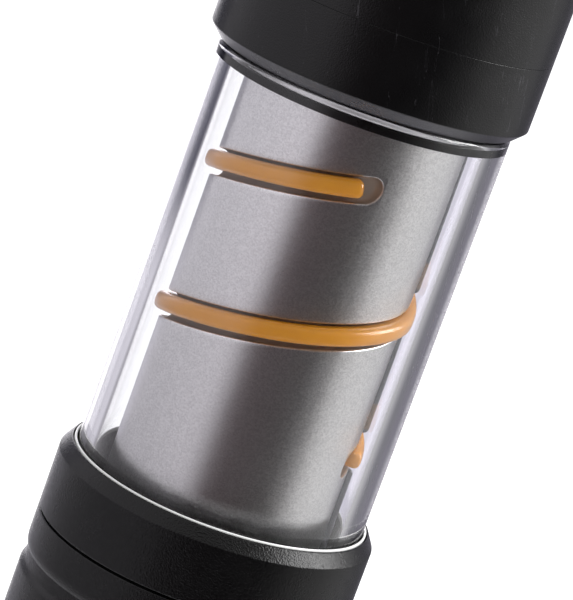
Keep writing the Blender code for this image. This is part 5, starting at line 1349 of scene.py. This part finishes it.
# Column cap: the black moulding on the column's top. Its flange fills the clear tube's end and
# shows as the dark band under the head. Three screws go down into the column.
CAP_SKIRT_BORE = 0.0148
CAP_SKIRT_EDGE = 0.00008
CAP_LIP_RADIUS = 0.01657
CAP_SKIRT_LOW = 0.1336
CAP_FLANGE_LOW = 0.1342
CAP_LIP_TOP = 0.13465
CAP_RING_FLOOR = 0.01555
CAP_SHOULDER = 0.1358
CAP_NECK = 0.0153
CAP_NECK_TOP = 0.1388
CAP_INNER_BORE = 0.0116
column_cap = turned("column_cap_moulded", [
    (CAP_SKIRT_BORE, CAP_SKIRT_LOW, CAP_SKIRT_EDGE),
    (CAP_LIP_RADIUS, CAP_SKIRT_LOW, LIP_EDGE),
    (CAP_LIP_RADIUS, CAP_LIP_TOP, LIP_EDGE),
    (CAP_RING_FLOOR, CAP_LIP_TOP),
    (CAP_RING_FLOOR, CAP_SHOULDER),
    (CAP_NECK, CAP_SHOULDER),
    (CAP_NECK, CAP_NECK_TOP, BROKEN_EDGE),
    (CAP_INNER_BORE, CAP_NECK_TOP, BROKEN_EDGE),
    (CAP_INNER_BORE, CAP_FLANGE_LOW),
    (CAP_SKIRT_BORE, CAP_FLANGE_LOW),
], BLACK_SATIN)
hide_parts("column_cap")
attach(column_cap, "lantern")

# Tube seal: a milky silicone ring on the cap, squeezed against the tube's bore. It shows as the
# pale band between the head and the cap's dark lip.
SEAL_INNER = 0.01560
SEAL_OUTER = 0.01657
SEAL_LOW = 0.13470
SEAL_HIGH = 0.13575
PEARL_RING = moulded_plastic("milky_silicone", (0.90, 0.89, 0.91), (0.96, 0.95, 0.97), gloss=0.24,
                             pebble=0.0006, depth=0.000003, constants={"Metallic": 0.55})
milky_seal = turned("tube_seal_ring", ring(SEAL_INNER, SEAL_OUTER, SEAL_LOW, SEAL_HIGH,
                                           [BROKEN_EDGE] * 4), PEARL_RING)
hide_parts("tube_seal")
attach(milky_seal, "lantern")
dress(STEEL, "cap_screw_1", "cap_screw_2", "cap_screw_3")

# Clear tube: a thick extruded sleeve of clear plastic with polished, slightly rounded ends. It
# carries the pull of the handle, and it has rub marks, hairlines and dust from sliding.
TUBE_BORE = 0.01655
TUBE_RADIUS = 0.0190
TUBE_LOW = 0.0708
TUBE_HIGH = 0.1359
TUBE_EDGES = (0.0001, 0.0003, 0.0008, 0.00015)
TUBE_AROUND = 288


def clear_plastic():
    """Clear plastic with long hairlines, which show on its edges, and dust."""
    made, tree, shader, place = new_material("clear_sleeve")
    lines = slanted_scratches(tree, lean=18.0, across=60.0, along=160.0, fineness=0.0080)
    specks = grouped(tree, SETTLED_DUST, {"Vector": place, "Spacing": 0.0030, "Speck": 0.022,
                                          "Share": 0.2})["Mask"]
    facing = node(tree, "ShaderNodeLayerWeight", {"Blend": 0.5}).outputs["Facing"]
    lines = product(tree, lines, eased_share(tree, facing, 0.45, 0.70))
    marks = sum_of(tree, "MAXIMUM", lines, specks)
    skin = blended(tree, marks, (0.972, 0.972, 0.984), (0.88, 0.88, 0.89))
    dull = sum_of(tree, "MULTIPLY_ADD", marks, 0.45, 0.0)
    feed(tree, shader, {"Base Color": skin, "Roughness": dull, "Transmission Weight": 1.0,
                        "IOR": 1.49})
    return made


CLEAR_PLASTIC = clear_plastic()
tube = turned("clear_tube_polished",
              ring(TUBE_BORE, TUBE_RADIUS, TUBE_LOW, TUBE_HIGH, TUBE_EDGES), CLEAR_PLASTIC,
              TUBE_AROUND, 8)
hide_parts("clear_tube")
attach(tube, "lantern")

# Head base ring: the black ring at the head's foot, with the wide chamfer over the clear tube.
# The housing's spigot drops into it, and their joint is a fine seam round the head.
HEAD_RADIUS = 0.0206
BASE_LOW = 0.13595
BASE_EDGE = 0.13745
BASE_TOP = 0.14608
BASE_CHAMFER_INSET = 0.0015
BASE_CHAMFER_ROUND = 0.00018
BASE_EDGE_ROUND = 0.00014
BASE_TOP_ROUND = 0.00005
BASE_BORE = 0.0156
BASE_CAVITY = 0.0187
BASE_FLOOR = 0.1393
# Grey painted on the chamfer under the head: a painted reflection.
CHAMFER_PAINTED_REFLECTION = (0.024, 0.023, 0.028)
CHAMFER_REFLECTION_FADE = 0.0002


def chamfer_reflection_painted():
    """The head's black plastic, painted a little grey on the chamfer: a painted reflection."""
    made = BLACK_SATIN.copy()
    made.name = "black_satin_painted_chamfer_reflection"
    tree = made.node_tree
    # Below the head's edge the chamfer is painted grey: a painted reflection.
    stained(made, eased_share(tree, height_in(tree), BASE_EDGE, BASE_EDGE - CHAMFER_REFLECTION_FADE), CHAMFER_PAINTED_REFLECTION)
    return made


base_ring = turned("head_base_ring_turned", [
    (BASE_BORE, BASE_LOW, FINE_EDGE),
    (HEAD_RADIUS - BASE_CHAMFER_INSET, BASE_LOW, BASE_CHAMFER_ROUND),
    (HEAD_RADIUS, BASE_EDGE, BASE_EDGE_ROUND),
    (HEAD_RADIUS, BASE_TOP, BASE_TOP_ROUND),
    (BASE_CAVITY, BASE_TOP),
    (BASE_CAVITY, BASE_FLOOR),
    (BASE_BORE, BASE_FLOOR),
], chamfer_reflection_painted(), 2 * AROUND)
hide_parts("head_base_ring")
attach(base_ring, "lantern")

# Head housing: the main black shell of the head. It has a hole for the button at the back, a
# window and a pocket for the charging cover at the left, and a hole for the charge light.
HOUSING_LOW = 0.1461
HOUSING_SEAM_ROUND = 0.00006
HOUSING_SPIGOT = 0.0184
HOUSING_SPIGOT_LOW = 0.1415
HOUSING_SPIGOT_BORE = 0.0169
HOUSING_LEDGE = 0.1467
HOUSING_BORE = 0.0184
HOUSING_SINK_LEDGE = 0.1587
HOUSING_WIDE_BORE = 0.0190
HOUSING_SHOULDER = 0.1738
HOUSING_NECK = 0.0199
HOUSING_TOP = 0.1815
BUTTON_LEVEL = 0.1537
BUTTON_HOLE = 0.0043
LIGHT_HOLE = 0.0014
LIGHT_TURN = radians(135)
PORT_LEVEL = 0.15053
WINDOW_WIDTH = 0.0096
WINDOW_HEIGHT = 0.00392
COVER_POCKET_FLOOR = 0.0193
COVER_POCKET_LOW = 0.1471
COVER_POCKET_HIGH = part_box("usb_cover")[1].z + 0.0003
COVER_POCKET_HALF = radians(17.85)


def sector(name, inner, outer, low, high, middle, half, steps, skin=None):
    """Part of a ring between two turns, with flat ends."""
    mesh_data = bmesh.new()
    corners = ((inner, low), (outer, low), (outer, high), (inner, high))
    angles = [middle - half + 2 * half * index / steps for index in range(steps + 1)]
    joined_rings(mesh_data, [[mesh_data.verts.new(round_place(radius, angle, height))
                              for radius, height in corners] for angle in angles])
    return plain_object(name, mesh_data, skin)


housing = turned("head_housing_moulded", [
    (HOUSING_SPIGOT_BORE, HOUSING_SPIGOT_LOW),
    (HOUSING_SPIGOT, HOUSING_SPIGOT_LOW, BROKEN_EDGE),
    (HOUSING_SPIGOT, HOUSING_LOW),
    (HEAD_RADIUS, HOUSING_LOW, HOUSING_SEAM_ROUND),
    (HEAD_RADIUS, HOUSING_SHOULDER, SOFT_EDGE),
    (HOUSING_NECK, HOUSING_SHOULDER),
    (HOUSING_NECK, HOUSING_TOP, BROKEN_EDGE),
    (HOUSING_WIDE_BORE, HOUSING_TOP),
    (HOUSING_WIDE_BORE, HOUSING_SINK_LEDGE),
    (HOUSING_BORE, HOUSING_SINK_LEDGE),
    (HOUSING_BORE, HOUSING_LEDGE),
    (HOUSING_SPIGOT_BORE, HOUSING_LEDGE),
], BLACK_SATIN, 2 * AROUND)
cut(housing,
    cross_rod("button_hole", BUTTON_HOLE, HOUSING_BORE / 2, HEAD_RADIUS + THROUGH, BUTTON_LEVEL,
              pi / 2, 64),
    cross_rod("light_hole", LIGHT_HOLE, HOUSING_BORE / 2, HEAD_RADIUS + THROUGH, BUTTON_LEVEL,
              LIGHT_TURN, 32),
    block("port_window", (-HEAD_RADIUS - THROUGH, -WINDOW_WIDTH / 2, PORT_LEVEL - WINDOW_HEIGHT / 2),
          (-HOUSING_BORE / 2, WINDOW_WIDTH / 2, PORT_LEVEL + WINDOW_HEIGHT / 2)),
    sector("cover_pocket", COVER_POCKET_FLOOR, HEAD_RADIUS + THROUGH, COVER_POCKET_LOW,
           COVER_POCKET_HIGH, pi, COVER_POCKET_HALF, 24))
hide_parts("head_housing")
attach(housing, "lantern")

# Driver board inside the head: a green round board with its chips, coil and side switch. They
# are out of sight and keep their CAD shapes.


def circuit_board():
    """Green solder mask over copper tracks."""
    made, tree, shader, place = new_material("green_board")
    tracks = node(tree, "ShaderNodeTexBrick", {
        "Vector": place, "Scale": 300.0, "Mortar Size": 0.03,
        "Color1": (0.015, 0.10, 0.04, 1.0), "Color2": (0.02, 0.13, 0.05, 1.0),
        "Mortar": (0.06, 0.24, 0.10, 1.0)}).outputs["Color"]
    feed(tree, shader, {"Base Color": tracks, "Roughness": 0.35})
    return made


CHIP_BLACK = moulded_plastic("chip_moulding", (0.012, 0.012, 0.012), (0.03, 0.03, 0.03), gloss=0.5,
                             pebble=0.0002, depth=0.00001)
dress(circuit_board(), "driver_board")
dress(CHIP_BLACK, "driver_chip", "charge_chip", "driver_coil", "tact_switch", "switch_plunger")

# Charging socket: a folded nickel shell with a black tongue inside, behind the window at the
# head's left.
dress(NICKEL, "usb_port")

# Charging cover: a black rubber flap that lies flush in its pocket, hinged at its foot, with a
# plug that fills the socket and a small roll at the foot that it turns on.
COVER_INNER = 0.0196
COVER_LOW = 0.1480
COVER_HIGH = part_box("usb_cover")[1].z
COVER_HALF = radians(16.9)
COVER_HINGE_X = -0.0201
COVER_PLUG_START = -0.0201
COVER_PLUG_WIDTH = 0.0076
COVER_PLUG_HEIGHT = 0.00192
COVER_PLUG_END = -0.0176
COVER_ROLL_RADIUS = 0.00045
COVER_ROLL_HALF = 0.0025
COVER_EDGE = 0.00022


def fused(piece, cores, edge, segments):
    """Grow cores into a piece and round all its edges."""
    combined(piece, "UNION", cores)
    bevel = piece.modifiers.new("soft_edges", "BEVEL")
    bevel.width = edge
    bevel.segments = segments
    bevel.limit_method = "ANGLE"
    bevel.angle_limit = CREASE_FROM
    kept(piece, cores)
    smoothed(piece.data)


cover = sector("usb_cover_flap", COVER_INNER, HEAD_RADIUS, COVER_LOW, COVER_HIGH, pi, COVER_HALF,
               28, BLACK_RUBBER)
cover_plug = block("cover_plug", (COVER_PLUG_START, -COVER_PLUG_WIDTH / 2,
                                  PORT_LEVEL - COVER_PLUG_HEIGHT / 2),
                   (COVER_PLUG_END, COVER_PLUG_WIDTH / 2, PORT_LEVEL + COVER_PLUG_HEIGHT / 2))
roll_mesh = laid(rod_mesh(COVER_ROLL_RADIUS, -COVER_ROLL_HALF, COVER_ROLL_HALF, 24),
                 (COVER_HINGE_X, 0, COVER_LOW), (pi / 2, "X"))
fused(cover, [cover_plug, plain_object("cover_roll", roll_mesh, None)], COVER_EDGE, 3)
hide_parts("usb_cover")
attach(cover, "port_cover")

# Power button: a round rubber button at the back of the head, with a dished face inside a soft
# rim. Its flange is trapped behind the housing wall.
BUTTON_RADIUS = 0.0040
BUTTON_FLANGE = 0.0046
BUTTON_FLANGE_BACK = 0.0165
BUTTON_FLANGE_FACE = 0.0175
BUTTON_FACE = 0.0211
BUTTON_SHOULDER = 0.0006
BUTTON_RIM = 0.72
BUTTON_HOLLOW = 0.60
BUTTON_DISH = 0.00035
BUTTON_DISH_EASE = 0.0004
button_mesh = turned_mesh(eased([
    (0, BUTTON_FLANGE_BACK),
    (BUTTON_FLANGE, BUTTON_FLANGE_BACK, BROKEN_EDGE),
    (BUTTON_FLANGE, BUTTON_FLANGE_FACE, BROKEN_EDGE),
    (BUTTON_RADIUS, BUTTON_FLANGE_FACE, FINE_EDGE),
    (BUTTON_RADIUS, BUTTON_FACE, BUTTON_SHOULDER),
    (BUTTON_RADIUS * BUTTON_RIM, BUTTON_FACE, BUTTON_DISH_EASE),
    (BUTTON_RADIUS * BUTTON_HOLLOW, BUTTON_FACE - BUTTON_DISH, BUTTON_DISH_EASE),
    (0, BUTTON_FACE - BUTTON_DISH),
]), 72)
button = plain_object("power_button_dished",
                      laid(button_mesh, (0, 0, BUTTON_LEVEL), (-pi / 2, "X")), BLACK_RUBBER)
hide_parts("power_button")
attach(button, "button")

# Charge light: a slightly hazy light pipe pressed through the housing wall beside the
# button, with its end standing just proud of the wall.
LIGHT_RADIUS = 0.0011
LIGHT_END = 0.0208
LIGHT_START = 0.0170
MILKY_PIPE = clouded("light_pipe", 900.0, 2.0, (0.86, 0.88, 0.88), (0.95, 0.96, 0.96),
                     gloss=0.15, spread=0.2, constants={"Transmission Weight": 1.0})
light_mesh = turned_mesh(eased(disc(LIGHT_RADIUS, LIGHT_START, LIGHT_END, FINE_EDGE, SOFT_EDGE)), 40)
laid(light_mesh, (0, 0, BUTTON_LEVEL), (LIGHT_TURN, "Z"), (pi / 2, "Y"))
charge_light = plain_object("indicator_light_pipe", light_mesh, MILKY_PIPE)
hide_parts("indicator_lens")
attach(charge_light, "lantern")

# Front lamp: an aluminium heat sink, a white star board with its LED, and a plated reflector
# bowl over them.
SINK_ALUMINIUM = plated_metal("sawn_aluminium", (0.60, 0.61, 0.62), (0.72, 0.73, 0.74), 0.36,
                              50.0, 700.0)
dress(SINK_ALUMINIUM, "heat_sink")
dress(WHITE_PLASTIC, "led_board")

EMITTER_LOW = 0.1647
EMITTER_HALF = 0.0025
EMITTER_HEIGHT = 0.0007
EMITTER_TOP = EMITTER_LOW + EMITTER_HEIGHT
DOME_FOOT = EMITTER_LOW + EMITTER_HEIGHT / 2
DOME_RADIUS = 0.0017
DOME_STEPS = 14
dome_corners = [(0, DOME_FOOT), (DOME_RADIUS, DOME_FOOT)]
for index in range(DOME_STEPS):
    angle = pi / 2 * index / DOME_STEPS
    dome_corners.append((DOME_RADIUS * cos(angle), EMITTER_TOP + DOME_RADIUS * sin(angle)))
dome_corners.append((0, EMITTER_TOP + DOME_RADIUS))
emitter = block("led_emitter_package", (-EMITTER_HALF, -EMITTER_HALF, EMITTER_LOW),
                (EMITTER_HALF, EMITTER_HALF, EMITTER_TOP), PHOSPHOR)
fused(emitter, [turned("emitter_dome", dome_corners, PHOSPHOR, 48)], FINE_EDGE, 2)
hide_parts("led_emitter")
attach(emitter, "lantern")

BOWL_LOW = 0.1647
BOWL_HIGH = 0.1828
BOWL_THROAT = 0.0042
BOWL_MOUTH = 0.0176
BOWL_WALL = 0.0010
BOWL_FLANGE = 0.0199
BOWL_FLANGE_LOW = 0.1818
BOWL_STEPS = 36


def mirror_plating():
    """Vacuum plated reflector with the faint dimples of its moulding."""
    made = clouded("mirror_plating", 90.0, 2.0, (0.86, 0.86, 0.87), (0.92, 0.92, 0.93),
                   gloss=0.04, spread=0.04, constants={"Metallic": 1.0})
    tree = made.node_tree
    place = tree.nodes.new("ShaderNodeTexCoord").outputs["Object"]
    dimples = node(tree, "ShaderNodeTexVoronoi", {"Vector": place, "Scale": 900.0},
                   feature="SMOOTH_F1").outputs["Distance"]
    bumped(tree, tree.nodes["Principled BSDF"], dimples, 0.00006)
    return made


bowl_inner = []
bowl_outer = []
for index in range(BOWL_STEPS + 1):
    share = (index / BOWL_STEPS) ** 2
    radius = sqrt(BOWL_THROAT ** 2 + (BOWL_MOUTH ** 2 - BOWL_THROAT ** 2) * share)
    height = BOWL_LOW + (BOWL_HIGH - BOWL_LOW) * share
    bowl_inner.append((radius, height))
    if height < BOWL_FLANGE_LOW - BOWL_WALL:
        bowl_outer.append((radius + BOWL_WALL, height))
reflector = turned("reflector_bowl", bowl_inner[::-1] + bowl_outer + [
    (BOWL_MOUTH + BOWL_WALL, BOWL_FLANGE_LOW),
    (BOWL_FLANGE, BOWL_FLANGE_LOW),
    (BOWL_FLANGE, BOWL_HIGH, FINE_EDGE),
], mirror_plating())
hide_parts("reflector")
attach(reflector, "lantern")

# Front lens: a flat disc of clear plastic with a small edge chamfer, sealed by a rubber ring
# under the bezel's lip.
LENS_RADIUS = 0.0199
LENS_LOW = 0.1831
LENS_HIGH = 0.1847
lens = turned("front_lens_disc", disc(LENS_RADIUS, LENS_LOW, LENS_HIGH, BROKEN_EDGE, BROKEN_EDGE),
              CLEAR_PLASTIC)
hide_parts("front_lens")
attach(lens, "lantern")
dress(BLACK_RUBBER, "lens_seal")

# Front bezel: the black ring screwed on the housing over the lens, with one turned groove, fine
# flutes to grip and a bevelled mouth.
BEZEL_RADIUS = 0.0213
BEZEL_BORE = 0.0202
BEZEL_LOW = 0.1741
BEZEL_LOW_EDGE = 0.0006
BEZEL_HIGH = 0.1883
BEZEL_HIGH_EDGE = 0.0010
BEZEL_MOUTH = 0.0178
BEZEL_BEVEL = 0.0009
BEZEL_LIP_LOW = 0.1862
BEZEL_GROOVE_LOW = 0.1829
BEZEL_GROOVE_HIGH = 0.1841
BEZEL_GROOVE_FLOOR = 0.0208
BEZEL_FLUTE_COUNT = 36
BEZEL_FLUTE_DEPTH = 0.00025
BEZEL_FLUTE_LOW = 0.1755
BEZEL_FLUTE_HIGH = 0.1820
bezel = turned("front_bezel_fluted", [
    (BEZEL_BORE, BEZEL_LOW),
    (BEZEL_RADIUS, BEZEL_LOW, BEZEL_LOW_EDGE),
    *level_rows(BEZEL_RADIUS, BEZEL_FLUTE_LOW, BEZEL_FLUTE_HIGH, FLUTE_ROWS),
    (BEZEL_RADIUS, BEZEL_GROOVE_LOW, BROKEN_EDGE),
    (BEZEL_GROOVE_FLOOR, BEZEL_GROOVE_LOW, FINE_EDGE),
    (BEZEL_GROOVE_FLOOR, BEZEL_GROOVE_HIGH, FINE_EDGE),
    (BEZEL_RADIUS, BEZEL_GROOVE_HIGH, BROKEN_EDGE),
    (BEZEL_RADIUS, BEZEL_HIGH, BEZEL_HIGH_EDGE),
    (BEZEL_MOUTH + BEZEL_BEVEL, BEZEL_HIGH, SOFT_EDGE),
    (BEZEL_MOUTH, BEZEL_HIGH - BEZEL_BEVEL, SOFT_EDGE),
    (BEZEL_MOUTH, BEZEL_LIP_LOW, FINE_EDGE),
    (BEZEL_BORE, BEZEL_LIP_LOW),
], BLACK_SATIN, 2 * AROUND)
fluted(bezel, BEZEL_RADIUS, BEZEL_FLUTE_DEPTH, BEZEL_FLUTE_COUNT, BEZEL_FLUTE_LOW, BEZEL_FLUTE_HIGH)
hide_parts("front_bezel")
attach(bezel, "lantern")

bpy.context.view_layer.update()
